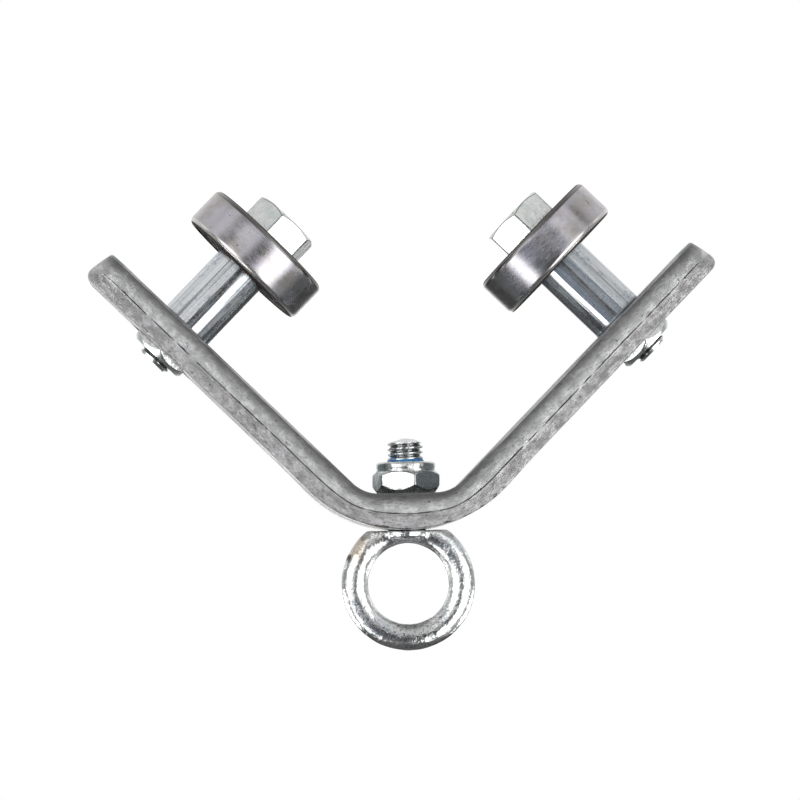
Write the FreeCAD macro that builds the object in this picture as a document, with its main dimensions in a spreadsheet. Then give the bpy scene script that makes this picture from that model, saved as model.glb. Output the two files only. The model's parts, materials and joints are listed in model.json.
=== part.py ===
import FreeCAD, Part
import os
import Sketcher

# Zip line trolley: a flat bar bent to a V, a ball bearing wheel on each arm and a swivelling
# eye bolt through the bottom of the V.
# Frame: +X right, +Y along the rail, +Z up. The origin is the centre of the eye, where the load
# hangs. The bar and the eye bolt are sketched from the bar's underside, eye_centre_depth above
# that. Lengths are in millimetres, angles in degrees.

SIZES = {
    # bracket
    "bar_thickness": 10.0,
    "bar_width": 40.0,
    "arm_angle": 45.0,
    "knee": 12.1,
    "bend_inner_radius": 10.0,
    "bend_outer_radius": 37.0,
    "arm_length": 97.9,
    "arm_corner_radius": 9.0,
    "inner_edge_radius": 2.2,
    "outer_edge_radius": 1.2,
    "axle_distance": 68.5,
    "axle_hole_diameter": 10.5,
    "nut_recess_diameter": 22.0,
    "nut_recess_depth": 2.9,
    "swivel_hole_diameter": 10.12,
    "nut_seat_diameter": 21.0,
    "nut_seat_depth": 0.8,
    # wheel bearing
    "wheel_diameter": 40.0,
    "wheel_width": 12.0,
    "wheel_corner_radius": 1.0,
    "bearing_bore": 16.0,
    "inner_land_diameter": 24.6,
    "outer_land_diameter": 33.4,
    "ball_count": 8,
    "ball_diameter": 6.747,
    "ball_pitch_diameter": 28.5,
    "raceway_radius": 3.42,
    "shield_seat_diameter": 34.8,
    "shield_seat_depth": 1.3,
    "shield_bore_diameter": 25.0,
    "shield_inset": 0.5,
    "shield_thickness": 0.4,
    "cage_thickness": 0.6,
    "cage_bore_diameter": 25.5,
    "cage_diameter": 31.5,
    "cage_pocket_clearance": 0.08,
    "rivet_diameter": 1.0,
    "rivet_head_diameter": 1.9,
    "rivet_head_height": 0.35,
    # axle
    "sleeve_diameter": 16.0,
    "sleeve_bore": 12.0,
    "sleeve_stand_off": 22.0,
    "sleeve_chamfer": 0.4,
    "shoulder_diameter": 11.9,
    "axle_thread_diameter": 10.0,
    "head_across_flats": 18.0,
    "head_height": 7.5,
    "left_head_turn": 21.0,
    "right_head_turn": 30.0,
    "jam_nut_across_flats": 17.0,
    "jam_nut_height": 5.0,
    "left_jam_nut_turn": 30.0,
    "right_jam_nut_turn": 30.0,
    "axle_end_beyond_nut": 1.7,
    "thread_chamfer": 0.9,
    # eye bolt and its locking nut
    "swivel_play": 0.05,
    "eye_thread_diameter": 10.0,
    "eye_thread_top": 24.4,
    "eye_tip_height": 1.3,
    "eye_tip_diameter": 4.0,
    "eye_centre_depth": 15.0,
    "eye_diameter": 37.4,
    "eye_bore": 22.4,
    "eye_section_depth": 8.8,
    "collar_diameter": 13.7,
    "collar_height": 1.75,
    "lock_nut_across_flats": 17.0,
    "lock_nut_turn": 44.0,
    "lock_nut_hex_height": 7.2,
    "lock_nut_height": 9.8,
    "lock_nut_collar_diameter": 16.6,
    "lock_nut_lip": 0.6,
    "lock_nut_lip_diameter": 12.4,
    "insert_diameter": 14.0,
    "insert_height": 2.6,
    "insert_rise": 0.9,
    "insert_tip_diameter": 10.8,
}

doc = FreeCAD.newDocument("zip_line_trolley")
sheet = doc.addObject("Spreadsheet::Sheet", "Sizes")
for row, (alias, value) in enumerate(SIZES.items(), start=1):
    sheet.set(f"A{row}", alias)
    sheet.set(f"B{row}", str(value))
    sheet.setAlias(f"B{row}", alias)
doc.recompute()


# ---------------------------------------------------------------------------------------------
# Helpers. Every expression is written with bare aliases, such as "bar_width / 2".
# ---------------------------------------------------------------------------------------------

def bound(expression):
    """The expression with each alias pointed at the sheet."""
    words = []
    word = ""
    for letter in expression + " ":
        if letter.isalnum() or letter in "_.":
            word += letter
            continue
        words.append(f"Sizes.{word}" if word in SIZES else word)
        words.append(letter)
        word = ""
    return "".join(words).strip()


def value_of(expression):
    """The expression's number."""
    result = sheet.evalExpression(bound(expression))
    return float(getattr(result, "Value", result))


def lift(item, height="0"):
    """Place an object so that its own zero is at a height above the bar's underside."""
    item.Placement = FreeCAD.Placement()
    item.setExpression("Placement.Base.z", bound(f"eye_centre_depth + {height}"))


def origin_feature(body, role):
    return next(item for item in body.Origin.OriginFeatures if item.Role == role)


def new_body(label):
    body = doc.addObject("PartDesign::Body", label)
    body.Label = label
    body.AllowCompound = True
    return body


def new_sketch(body, role, turn=None):
    """A sketch on an origin plane; turn swings it about the sketch's own upright axis."""
    sketch = body.newObject("Sketcher::SketchObject", f"{body.Label}_sketch")
    sketch.AttachmentSupport = (origin_feature(body, role), [""])
    sketch.MapMode = "FlatFace"
    if turn:
        sketch.AttachmentOffset = FreeCAD.Placement(FreeCAD.Vector(), FreeCAD.Vector(0, 1, 0), 1)
        sketch.setExpression("AttachmentOffset.Rotation.Angle", bound(turn))
    return sketch


def pin_point(sketch, geometry, place, across, up):
    """Fix one point of the sketch at two bound distances from its origin."""
    for kind, axis, expression in (("DistanceX", -2, across), ("DistanceY", -1, up)):
        number = value_of(expression)
        if abs(number) < 1e-9:
            sketch.addConstraint(Sketcher.Constraint("PointOnObject", geometry, place, axis))
            continue
        index = sketch.addConstraint(
            Sketcher.Constraint(kind, -1, 1, geometry, place, number))
        sketch.setExpression(f"Constraints[{index}]", bound(expression))


def add_outline(sketch, points, arcs=()):
    """A closed outline through the points, each a pair of expressions (across, up).

    arcs maps the number of a stretch to (radius, centre across, centre up); other stretches
    are straight.
    """
    arcs = dict(arcs)
    numbers = [FreeCAD.Vector(value_of(x), value_of(y), 0) for x, y in points]
    ends = []
    for number, start in enumerate(numbers):
        finish = numbers[(number + 1) % len(numbers)]
        if number not in arcs:
            index = sketch.addGeometry(Part.LineSegment(start, finish))
            ends.append((index, 1, 2))
            continue
        radius, across, up = arcs[number]
        centre = FreeCAD.Vector(value_of(across), value_of(up), 0)
        circle = Part.Circle(centre, FreeCAD.Vector(0, 0, 1), value_of(radius))
        first = circle.parameter(start)
        last = circle.parameter(finish)
        turns_left = (start - centre).cross(finish - centre).z > 0
        if turns_left:
            index = sketch.addGeometry(Part.ArcOfCircle(circle, first, last))
            ends.append((index, 1, 2))
        else:
            index = sketch.addGeometry(Part.ArcOfCircle(circle, last, first))
            ends.append((index, 2, 1))
    for number, (index, start, finish) in enumerate(ends):
        following, following_start, _ = ends[(number + 1) % len(ends)]
        sketch.addConstraint(
            Sketcher.Constraint("Coincident", index, finish, following, following_start))
    for (index, start, _), (across, up) in zip(ends, points):
        pin_point(sketch, index, start, across, up)
    for number, (radius, _, _) in arcs.items():
        index = ends[number][0]
        chord = (numbers[(number + 1) % len(numbers)] - numbers[number]).Length
        if abs(chord - 2 * value_of(radius)) < 1e-6:
            closing_line = ends[(number + 1) % len(ends)][0]
            sketch.addConstraint(Sketcher.Constraint("PointOnObject", index, 3, closing_line))
            continue
        constraint = sketch.addConstraint(
            Sketcher.Constraint("Radius", index, value_of(radius)))
        sketch.setExpression(f"Constraints[{constraint}]", bound(radius))


def add_circle(sketch, across, up, radius):
    circle = Part.Circle(FreeCAD.Vector(value_of(across), value_of(up), 0),
                         FreeCAD.Vector(0, 0, 1), value_of(radius))
    index = sketch.addGeometry(circle)
    pin_point(sketch, index, 3, across, up)
    constraint = sketch.addConstraint(Sketcher.Constraint("Radius", index, value_of(radius)))
    sketch.setExpression(f"Constraints[{constraint}]", bound(radius))


def add_axis(sketch, start, finish):
    """A construction line that a revolution can turn about."""
    points = [FreeCAD.Vector(value_of(x), value_of(y), 0) for x, y in (start, finish)]
    index = sketch.addGeometry(Part.LineSegment(*points), True)
    pin_point(sketch, index, 1, *start)
    pin_point(sketch, index, 2, *finish)


def revolve(body, kind, sketch, axis="V_Axis"):
    """kind is Revolution, which adds, or Groove, which cuts."""
    feature = body.newObject(f"PartDesign::{kind}", f"{body.Label}_{kind}")
    feature.Profile = sketch
    feature.ReferenceAxis = (sketch, [axis])
    feature.Angle = 360
    body.Tip = feature
    doc.recompute()
    return feature


def turn_profile(body, kind, points, role="XZ_Plane", arcs=()):
    """Revolve an outline (radius, height) about the body's upright axis."""
    sketch = new_sketch(body, role)
    add_outline(sketch, points, arcs)
    return revolve(body, kind, sketch)


def pad(body, sketch, length, both_ways=False, backwards=False):
    feature = body.newObject("PartDesign::Pad", f"{body.Label}_Pad")
    feature.Profile = sketch
    feature.Midplane = both_ways
    feature.Reversed = backwards
    feature.setExpression("Length", bound(length))
    body.Tip = feature
    doc.recompute()
    return feature


def round_edges(body, chosen, radius):
    base = body.Tip
    feature = body.newObject("PartDesign::Fillet", f"{body.Label}_Fillet")
    feature.Base = (base, chosen)
    feature.setExpression("Radius", bound(radius))
    body.Tip = feature
    doc.recompute()
    return feature


def edges_where(shape, test):
    """Names of the edges whose middle and direction pass the test."""
    names = []
    for number, edge in enumerate(shape.Edges, start=1):
        middle = edge.valueAt((edge.FirstParameter + edge.LastParameter) / 2)
        direction = edge.tangentAt((edge.FirstParameter + edge.LastParameter) / 2)
        if test(edge, middle, direction):
            names.append(f"Edge{number}")
    return names


def ring_of(body, feature, count):
    """Repeat a feature evenly round the body's upright axis."""
    pattern = body.newObject("PartDesign::PolarPattern", f"{body.Label}_PolarPattern")
    pattern.Originals = [feature]
    pattern.Axis = (origin_feature(body, "Z_Axis"), [""])
    pattern.Angle = 360
    pattern.setExpression("Occurrences", bound(count))
    body.Tip = pattern
    doc.recompute()
    return pattern


def hexagon(across_flats, turn):
    """The six corners of a hexagon, the first one turned from +X."""
    corner = f"{across_flats} / sqrt(3)"
    return [(f"{corner} * cos({turn} + {60 * side})", f"{corner} * sin({turn} + {60 * side})")
            for side in range(6)]


def chamfer_hexagon(body, across_flats, face, slope):
    """Turn the hexagon's corners down at an end face; slope is +1 at a top face, -1 at a base."""
    corner = f"{across_flats} / sqrt(3)"
    start = f"{across_flats} * 0.475"
    drop = f"({corner} + 1 - {start}) * tan(30)"
    turn_profile(body, "Groove", [
        (start, face),
        (f"{corner} + 1", face),
        (f"{corner} + 1", f"{face} - ({slope}) * {drop}"),
    ])


# ---------------------------------------------------------------------------------------------
# Bracket
# ---------------------------------------------------------------------------------------------

def arm_point(side, along, inward):
    """A point of an arm: along its inner face from the knee, inward from its outer face.

    The knee is where the flat's and the arm's inner faces would meet if the bend were sharp.
    """
    rise = f"({inward} - bar_thickness)"
    across = f"{side} * (knee + ({along}) * cos(arm_angle) - {rise} * sin(arm_angle))"
    up = f"bar_thickness + ({along}) * sin(arm_angle) + {rise} * cos(arm_angle)"
    return across, up


def bar_outline():
    """The bar's edge view, anticlockwise from the left end of the flat underside.

    Bending stretches the outside of the bar, so its outer bend is rounder than its inner one.
    """
    half_bend = "tan(arm_angle / 2)"
    outer_flat = f"(knee + (bar_thickness - bend_outer_radius) * {half_bend})"
    inner_flat = f"(knee - bend_inner_radius * {half_bend})"
    outer_end = f"(bend_outer_radius - bar_thickness) * {half_bend}"
    inner_end = f"bend_inner_radius * {half_bend}"
    inner_centre = "bar_thickness + bend_inner_radius"
    points = [
        (f"-{outer_flat}", "0"),
        (outer_flat, "0"),
        arm_point(1, outer_end, "0"),
        arm_point(1, "arm_length", "0"),
        arm_point(1, "arm_length", "bar_thickness"),
        arm_point(1, inner_end, "bar_thickness"),
        (inner_flat, "bar_thickness"),
        (f"-{inner_flat}", "bar_thickness"),
        arm_point(-1, inner_end, "bar_thickness"),
        arm_point(-1, "arm_length", "bar_thickness"),
        arm_point(-1, "arm_length", "0"),
        arm_point(-1, outer_end, "0"),
    ]
    arcs = {
        1: ("bend_outer_radius", outer_flat, "bend_outer_radius"),
        5: ("bend_inner_radius", inner_flat, inner_centre),
        7: ("bend_inner_radius", f"-{inner_flat}", inner_centre),
        11: ("bend_outer_radius", f"-{outer_flat}", "bend_outer_radius"),
    }
    return points, arcs


def drill_arm(body, side):
    """Axle hole and the round recess for its nut, cut about the axle's own axis."""
    sketch = new_sketch(body, "XZ_Plane")
    hole = "axle_hole_diameter / 2"
    recess = "nut_recess_diameter / 2"
    add_axis(sketch, arm_point(side, "axle_distance", "-5"),
             arm_point(side, "axle_distance", "bar_thickness + 5"))
    add_outline(sketch, [
        arm_point(side, "axle_distance", "-5"),
        arm_point(side, f"axle_distance + {recess}", "-5"),
        arm_point(side, f"axle_distance + {recess}", "nut_recess_depth"),
        arm_point(side, f"axle_distance + {hole}", "nut_recess_depth"),
        arm_point(side, f"axle_distance + {hole}", "bar_thickness + 5"),
        arm_point(side, "axle_distance", "bar_thickness + 5"),
    ])
    revolve(body, "Groove", sketch, "Axis0")


def make_bracket():
    body = new_body("bracket")
    sketch = new_sketch(body, "XZ_Plane")
    add_outline(sketch, *bar_outline())
    pad(body, sketch, "bar_width", both_ways=True)
    half_width = value_of("bar_width / 2")
    end_reach = value_of(arm_point(1, "arm_length", "bar_thickness")[0]) - 0.5

    def is_end_corner(edge, middle, direction):
        at_end = abs(middle.x) > end_reach
        return at_end and abs(abs(middle.y) - half_width) < 0.01 and abs(direction.y) < 0.01

    round_edges(body, edges_where(body.Tip.Shape, is_end_corner), "arm_corner_radius")

    for height, radius in (("bar_thickness", "inner_edge_radius"), ("0", "outer_edge_radius")):
        level = value_of(height)

        def is_flat_edge(edge, middle, direction):
            return abs(middle.x) < 0.01 and abs(middle.z - level) < 0.01 and abs(direction.x) > 0.99

        round_edges(body, edges_where(body.Tip.Shape, is_flat_edge), radius)
    turn_profile(body, "Groove", [
        ("0", "-1"),
        ("swivel_hole_diameter / 2", "-1"),
        ("swivel_hole_diameter / 2", "bar_thickness - nut_seat_depth"),
        ("nut_seat_diameter / 2", "bar_thickness - nut_seat_depth"),
        ("nut_seat_diameter / 2", "bar_thickness * 2"),
        ("0", "bar_thickness * 2"),
    ])
    for side in (-1, 1):
        drill_arm(body, side)
    lift(body)
    return body


# ---------------------------------------------------------------------------------------------
# Axles: each is modelled about its own Z, which starts at the arm's inner face and points up
# and inwards, then placed on its arm.
# ---------------------------------------------------------------------------------------------

def place_on_axle(item, side, height="0", flipped=False):
    """Stand an object on an arm; height is the distance from the arm's inner face."""
    across, up = arm_point(side, "axle_distance", f"bar_thickness + {height}")
    item.Placement = FreeCAD.Placement(FreeCAD.Vector(), FreeCAD.Vector(0, 1, 0), 1)
    item.setExpression("Placement.Base.x", bound(across))
    item.setExpression("Placement.Base.z", bound(f"eye_centre_depth + {up}"))
    turn = f"{-side} * arm_angle" + (" + 180" if flipped else "")
    item.setExpression("Placement.Rotation.Angle", bound(turn))


AXLE_TOP = "(sleeve_stand_off + wheel_width)"
NUT_BASE = "(nut_recess_depth - bar_thickness)"
WHEEL_MIDDLE = "(sleeve_stand_off + wheel_width / 2)"


def make_axle_bolt(side, name):
    """Hex head, plain shoulder through the sleeve and a thinner threaded end."""
    body = new_body(f"{name}_axle_bolt")
    end = f"({NUT_BASE} - jam_nut_height - axle_end_beyond_nut)"
    thread = "axle_thread_diameter / 2"
    turn_profile(body, "Revolution", [
        ("0", end),
        (f"{thread} - thread_chamfer", end),
        (thread, f"{end} + thread_chamfer"),
        (thread, "0"),
        ("shoulder_diameter / 2", "0"),
        ("shoulder_diameter / 2", AXLE_TOP),
        ("0", AXLE_TOP),
    ])
    sketch = new_sketch(body, "XY_Plane")
    sketch.AttachmentOffset = FreeCAD.Placement()
    sketch.setExpression("AttachmentOffset.Base.z", bound(AXLE_TOP))
    add_outline(sketch, hexagon("head_across_flats", f"{name}_head_turn"))
    pad(body, sketch, "head_height")
    chamfer_hexagon(body, "head_across_flats", f"({AXLE_TOP} + head_height)", 1)
    place_on_axle(body, side)
    return body


def make_sleeve(side, name):
    """Plated tube that runs from the arm through the bearing to the bolt's head."""
    body = new_body(f"{name}_sleeve")
    outer = "sleeve_diameter / 2"
    turn_profile(body, "Revolution", [
        ("sleeve_bore / 2", "0"),
        (f"{outer} - sleeve_chamfer", "0"),
        (outer, "sleeve_chamfer"),
        (outer, AXLE_TOP),
        ("sleeve_bore / 2", AXLE_TOP),
    ])
    place_on_axle(body, side)
    return body


def make_jam_nut(side, name):
    """Thin nut in the recess of the arm's outer face."""
    body = new_body(f"{name}_axle_nut")
    sketch = new_sketch(body, "XY_Plane")
    add_outline(sketch, hexagon("jam_nut_across_flats", f"{name}_jam_nut_turn"))
    pad(body, sketch, "jam_nut_height", backwards=True)
    thread = "axle_thread_diameter / 2"
    turn_profile(body, "Groove", [
        ("0", "1"),
        (thread, "1"),
        (thread, "-jam_nut_height - 1"),
        ("0", "-jam_nut_height - 1"),
    ])
    chamfer_hexagon(body, "jam_nut_across_flats", "0", 1)
    chamfer_hexagon(body, "jam_nut_across_flats", "-jam_nut_height", -1)
    place_on_axle(body, side, NUT_BASE)
    return body


# ---------------------------------------------------------------------------------------------
# Wheel bearings: each piece is modelled about the bearing's own middle.
# ---------------------------------------------------------------------------------------------

def cut_raceway(body):
    sketch = new_sketch(body, "XZ_Plane")
    add_circle(sketch, "ball_pitch_diameter / 2", "0", "raceway_radius")
    revolve(body, "Groove", sketch)


def make_outer_ring(side, name):
    """The ring that rolls on the rail, with a seat for a shield at each face."""
    body = new_body(f"{name}_bearing_outer_ring")
    face = "wheel_width / 2"
    tread = "wheel_diameter / 2"
    corner = "wheel_corner_radius"
    land = "outer_land_diameter / 2"
    seat = "shield_seat_diameter / 2"
    points = [
        (land, f"-{face} + shield_seat_depth"),
        (seat, f"-{face} + shield_seat_depth"),
        (seat, f"-{face}"),
        (f"{tread} - {corner}", f"-{face}"),
        (tread, f"-{face} + {corner}"),
        (tread, f"{face} - {corner}"),
        (f"{tread} - {corner}", face),
        (seat, face),
        (seat, f"{face} - shield_seat_depth"),
        (land, f"{face} - shield_seat_depth"),
    ]
    arcs = {
        3: (corner, f"{tread} - {corner}", f"-{face} + {corner}"),
        5: (corner, f"{tread} - {corner}", f"{face} - {corner}"),
    }
    turn_profile(body, "Revolution", points, arcs=arcs)
    cut_raceway(body)
    place_on_axle(body, side, WHEEL_MIDDLE)
    return body


def make_inner_ring(side, name):
    """The ring pressed on the sleeve."""
    body = new_body(f"{name}_bearing_inner_ring")
    bore = "bearing_bore / 2"
    land = "inner_land_diameter / 2"
    face = "wheel_width / 2"
    corner = "wheel_corner_radius / 2"
    turn_profile(body, "Revolution", [
        (bore, f"-{face}"),
        (f"{land} - {corner}", f"-{face}"),
        (land, f"-{face} + {corner}"),
        (land, f"{face} - {corner}"),
        (f"{land} - {corner}", face),
        (bore, face),
    ])
    cut_raceway(body)
    place_on_axle(body, side, WHEEL_MIDDLE)
    return body


def make_balls(side, name):
    """A ring of steel balls, one solid each."""
    body = new_body(f"{name}_bearing_balls")
    radius = "ball_diameter / 2"
    pitch = "ball_pitch_diameter / 2"
    sketch = new_sketch(body, "XZ_Plane")
    add_axis(sketch, (pitch, f"-{radius}"), (pitch, radius))
    add_outline(sketch, [(pitch, f"-{radius}"), (pitch, radius)],
                {0: (radius, pitch, "0")})
    ball = revolve(body, "Revolution", sketch, "Axis0")
    ring_of(body, ball, "ball_count")
    place_on_axle(body, side, WHEEL_MIDDLE)
    return body


def make_rivets(side, name):
    """Rivets between the balls that hold the two halves of the cage together."""
    body = new_body(f"{name}_bearing_cage_rivets")
    pitch = "ball_pitch_diameter / 2"
    shank = "rivet_diameter / 2"
    head = "rivet_head_diameter / 2"
    top = "(cage_thickness + rivet_head_height)"
    sketch = new_sketch(body, "XZ_Plane", turn="180 / ball_count")
    add_axis(sketch, (pitch, f"-{top}"), (pitch, top))
    add_outline(sketch, [
        (pitch, f"-{top}"),
        (f"{pitch} + {shank}", f"-{top}"),
        (f"{pitch} + {head}", "-cage_thickness"),
        (f"{pitch} + {shank}", "-cage_thickness"),
        (f"{pitch} + {shank}", "cage_thickness"),
        (f"{pitch} + {head}", "cage_thickness"),
        (f"{pitch} + {shank}", top),
        (pitch, top),
    ])
    rivet = revolve(body, "Revolution", sketch, "Axis0")
    ring_of(body, rivet, "ball_count")
    place_on_axle(body, side, WHEEL_MIDDLE)
    return body


def make_cage_half(side, name, end):
    """Half of the pressed cage: a flat ring with a dome over each ball."""
    body = new_body(f"{name}_bearing_cage_{end}")
    bore = "cage_bore_diameter / 2"
    rim = "cage_diameter / 2"
    pitch = "ball_pitch_diameter / 2"
    pocket = "(ball_diameter / 2 + cage_pocket_clearance)"
    dome = f"({pocket} + cage_thickness)"
    turn_profile(body, "Revolution", [
        (bore, "0"),
        (rim, "0"),
        (rim, "cage_thickness"),
        (bore, "cage_thickness"),
    ])
    for kind, radius in (("Revolution", dome), ("Groove", pocket)):
        sketch = new_sketch(body, "XZ_Plane")
        add_axis(sketch, (pitch, f"-{radius}"), (pitch, radius))
        add_outline(sketch, [(pitch, f"-{radius}"), (pitch, radius)],
                    {0: (radius, pitch, "0")})
        ball = revolve(body, kind, sketch, "Axis0")
        ring_of(body, ball, "ball_count")
    for points in (
        [("0", f"-{dome} - 1"), (f"{rim} + {dome}", f"-{dome} - 1"), (f"{rim} + {dome}", "0"), ("0", "0")],
        [(rim, "-1"), (f"{rim} + {dome}", "-1"), (f"{rim} + {dome}", f"{dome} + 1"), (rim, f"{dome} + 1")],
        [("0", "-1"), (bore, "-1"), (bore, f"{dome} + 1"), ("0", f"{dome} + 1")],
    ):
        turn_profile(body, "Groove", points)
    sketch = new_sketch(body, "XZ_Plane", turn="180 / ball_count")
    hole = "rivet_diameter / 2"
    add_axis(sketch, (pitch, "-1"), (pitch, "2"))
    add_outline(sketch, [(pitch, "-1"), (f"{pitch} + {hole}", "-1"),
                         (f"{pitch} + {hole}", "2"), (pitch, "2")])
    rivet_hole = revolve(body, "Groove", sketch, "Axis0")
    ring_of(body, rivet_hole, "ball_count")
    place_on_axle(body, side, WHEEL_MIDDLE, flipped=(end == "inboard"))
    return body


def make_shield(side, name, end):
    """Pressed steel shield with a turned-in rim, fixed in the outer ring."""
    body = new_body(f"{name}_bearing_shield_{end}")
    top = "(wheel_width / 2 - shield_inset)"
    seat = "(wheel_width / 2 - shield_seat_depth)"
    rim = "shield_seat_diameter / 2"
    turn_profile(body, "Revolution", [
        ("shield_bore_diameter / 2", f"{top} - shield_thickness"),
        (f"{rim} - shield_thickness", f"{top} - shield_thickness"),
        (f"{rim} - shield_thickness", seat),
        (rim, seat),
        (rim, top),
        ("shield_bore_diameter / 2", top),
    ])
    place_on_axle(body, side, WHEEL_MIDDLE, flipped=(end == "inboard"))
    return body


# ---------------------------------------------------------------------------------------------
# Eye bolt and its locking nut, on the upright swivel axis
# ---------------------------------------------------------------------------------------------

def make_eye_bolt():
    """Forged ring with a collar under the bar and a threaded shank through it."""
    body = new_body("eye_bolt")
    middle = "((eye_diameter + eye_bore) / 4)"
    half = "((eye_diameter - eye_bore) / 4)"
    round_radius = "eye_section_depth / 2"
    flat = f"sqrt(pow({round_radius}; 2) - pow({half}; 2))"
    sketch = new_sketch(body, "YZ_Plane")
    section = f"-eye_centre_depth - {middle}"
    add_axis(sketch, ("-10", "-eye_centre_depth"), ("10", "-eye_centre_depth"))
    add_outline(sketch, [
        (f"-{flat}", f"{section} - {half}"),
        (flat, f"{section} - {half}"),
        (flat, f"{section} + {half}"),
        (f"-{flat}", f"{section} + {half}"),
    ], {1: (round_radius, "0", section), 3: (round_radius, "0", section)})
    revolve(body, "Revolution", sketch, "Axis0")
    turn_profile(body, "Groove", [
        ("0", "-swivel_play"),
        ("eye_diameter", "-swivel_play"),
        ("eye_diameter", "eye_diameter / 2"),
        ("0", "eye_diameter / 2"),
    ])
    thread = "eye_thread_diameter / 2"
    turn_profile(body, "Revolution", [
        ("0", "-collar_height - 1"),
        ("collar_diameter / 2 - 1", "-collar_height - 1"),
        ("collar_diameter / 2", "-collar_height"),
        ("collar_diameter / 2", "-swivel_play"),
        (thread, "-swivel_play"),
        (thread, "eye_thread_top"),
        ("eye_tip_diameter / 2", "eye_thread_top + eye_tip_height"),
        ("0", "eye_thread_top + eye_tip_height"),
    ])
    lift(body)
    return body


NUT_SEAT = "(bar_thickness - nut_seat_depth + swivel_play)"


def make_swivel_nut():
    """Hex nut with a round collar that grips the nylon ring."""
    body = new_body("swivel_nut")
    sketch = new_sketch(body, "XY_Plane")
    add_outline(sketch, hexagon("lock_nut_across_flats", "lock_nut_turn"))
    pad(body, sketch, "lock_nut_hex_height")
    chamfer_hexagon(body, "lock_nut_across_flats", "lock_nut_hex_height", 1)
    chamfer_hexagon(body, "lock_nut_across_flats", "0", -1)
    collar = "lock_nut_collar_diameter / 2"
    lip_base = "(lock_nut_height - lock_nut_lip)"
    turn_profile(body, "Revolution", [
        ("0", "lock_nut_hex_height - 1"),
        (collar, "lock_nut_hex_height - 1"),
        (collar, lip_base),
        (f"{collar} - lock_nut_lip", "lock_nut_height"),
        ("0", "lock_nut_height"),
    ])
    thread = "eye_thread_diameter / 2"
    ring = "insert_diameter / 2"
    turn_profile(body, "Groove", [
        ("0", "-1"),
        (thread, "-1"),
        (thread, f"{lip_base} - insert_height"),
        (ring, f"{lip_base} - insert_height"),
        (ring, lip_base),
        ("lock_nut_lip_diameter / 2", lip_base),
        ("lock_nut_lip_diameter / 2", "lock_nut_height + 1"),
        ("0", "lock_nut_height + 1"),
    ])
    lift(body, NUT_SEAT)
    return body


def make_insert():
    """Nylon ring that locks the nut, drawn up a little round the thread."""
    body = new_body("swivel_nut_insert")
    lip_base = "(lock_nut_height - lock_nut_lip)"
    thread = "eye_thread_diameter / 2"
    turn_profile(body, "Revolution", [
        (thread, f"{lip_base} - insert_height"),
        ("insert_diameter / 2", f"{lip_base} - insert_height"),
        ("insert_diameter / 2", lip_base),
        ("lock_nut_lip_diameter / 2", lip_base),
        ("lock_nut_lip_diameter / 2", "lock_nut_height"),
        ("insert_tip_diameter / 2", "lock_nut_height + insert_rise"),
        (thread, "lock_nut_height + insert_rise"),
    ])
    lift(body, NUT_SEAT)
    return body


# ---------------------------------------------------------------------------------------------
# Build, check and write
# ---------------------------------------------------------------------------------------------

subparts = [make_bracket()]
for arm_side, arm_name in ((-1, "left"), (1, "right")):
    subparts.append(make_axle_bolt(arm_side, arm_name))
    subparts.append(make_sleeve(arm_side, arm_name))
    subparts.append(make_jam_nut(arm_side, arm_name))
    subparts.append(make_inner_ring(arm_side, arm_name))
    subparts.append(make_outer_ring(arm_side, arm_name))
    subparts.append(make_balls(arm_side, arm_name))
    subparts.append(make_rivets(arm_side, arm_name))
    for bearing_end in ("inboard", "outboard"):
        subparts.append(make_cage_half(arm_side, arm_name, bearing_end))
        subparts.append(make_shield(arm_side, arm_name, bearing_end))
subparts.append(make_eye_bolt())
subparts.append(make_swivel_nut())
subparts.append(make_insert())
doc.recompute()

for item in doc.Objects:
    if "Invalid" in item.State or "Error" in item.State:
        raise RuntimeError(f"{item.Label} failed: {item.State}")
for item in subparts:
    if item.Shape.isNull() or not item.Shape.isValid() or not item.Shape.Solids:
        raise RuntimeError(f"{item.Label} has no valid solid")

os.makedirs("parts", exist_ok=True)
for item in subparts:
    item.Shape.exportStep(f"parts/{item.Label}.step")
    print(item.Label, len(item.Shape.Solids), round(item.Shape.Volume, 1))
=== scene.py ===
"""Looks of the zip line trolley: visual meshes, procedural metals, studio and camera.

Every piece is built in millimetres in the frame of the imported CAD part: +X right, +Y along
the rail away from the camera, +Z up, with the origin at the centre of the eye's hole.
"""

import json
import math

import bpy
import numpy as np
from mathutils import Matrix, Vector, noise


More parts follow.
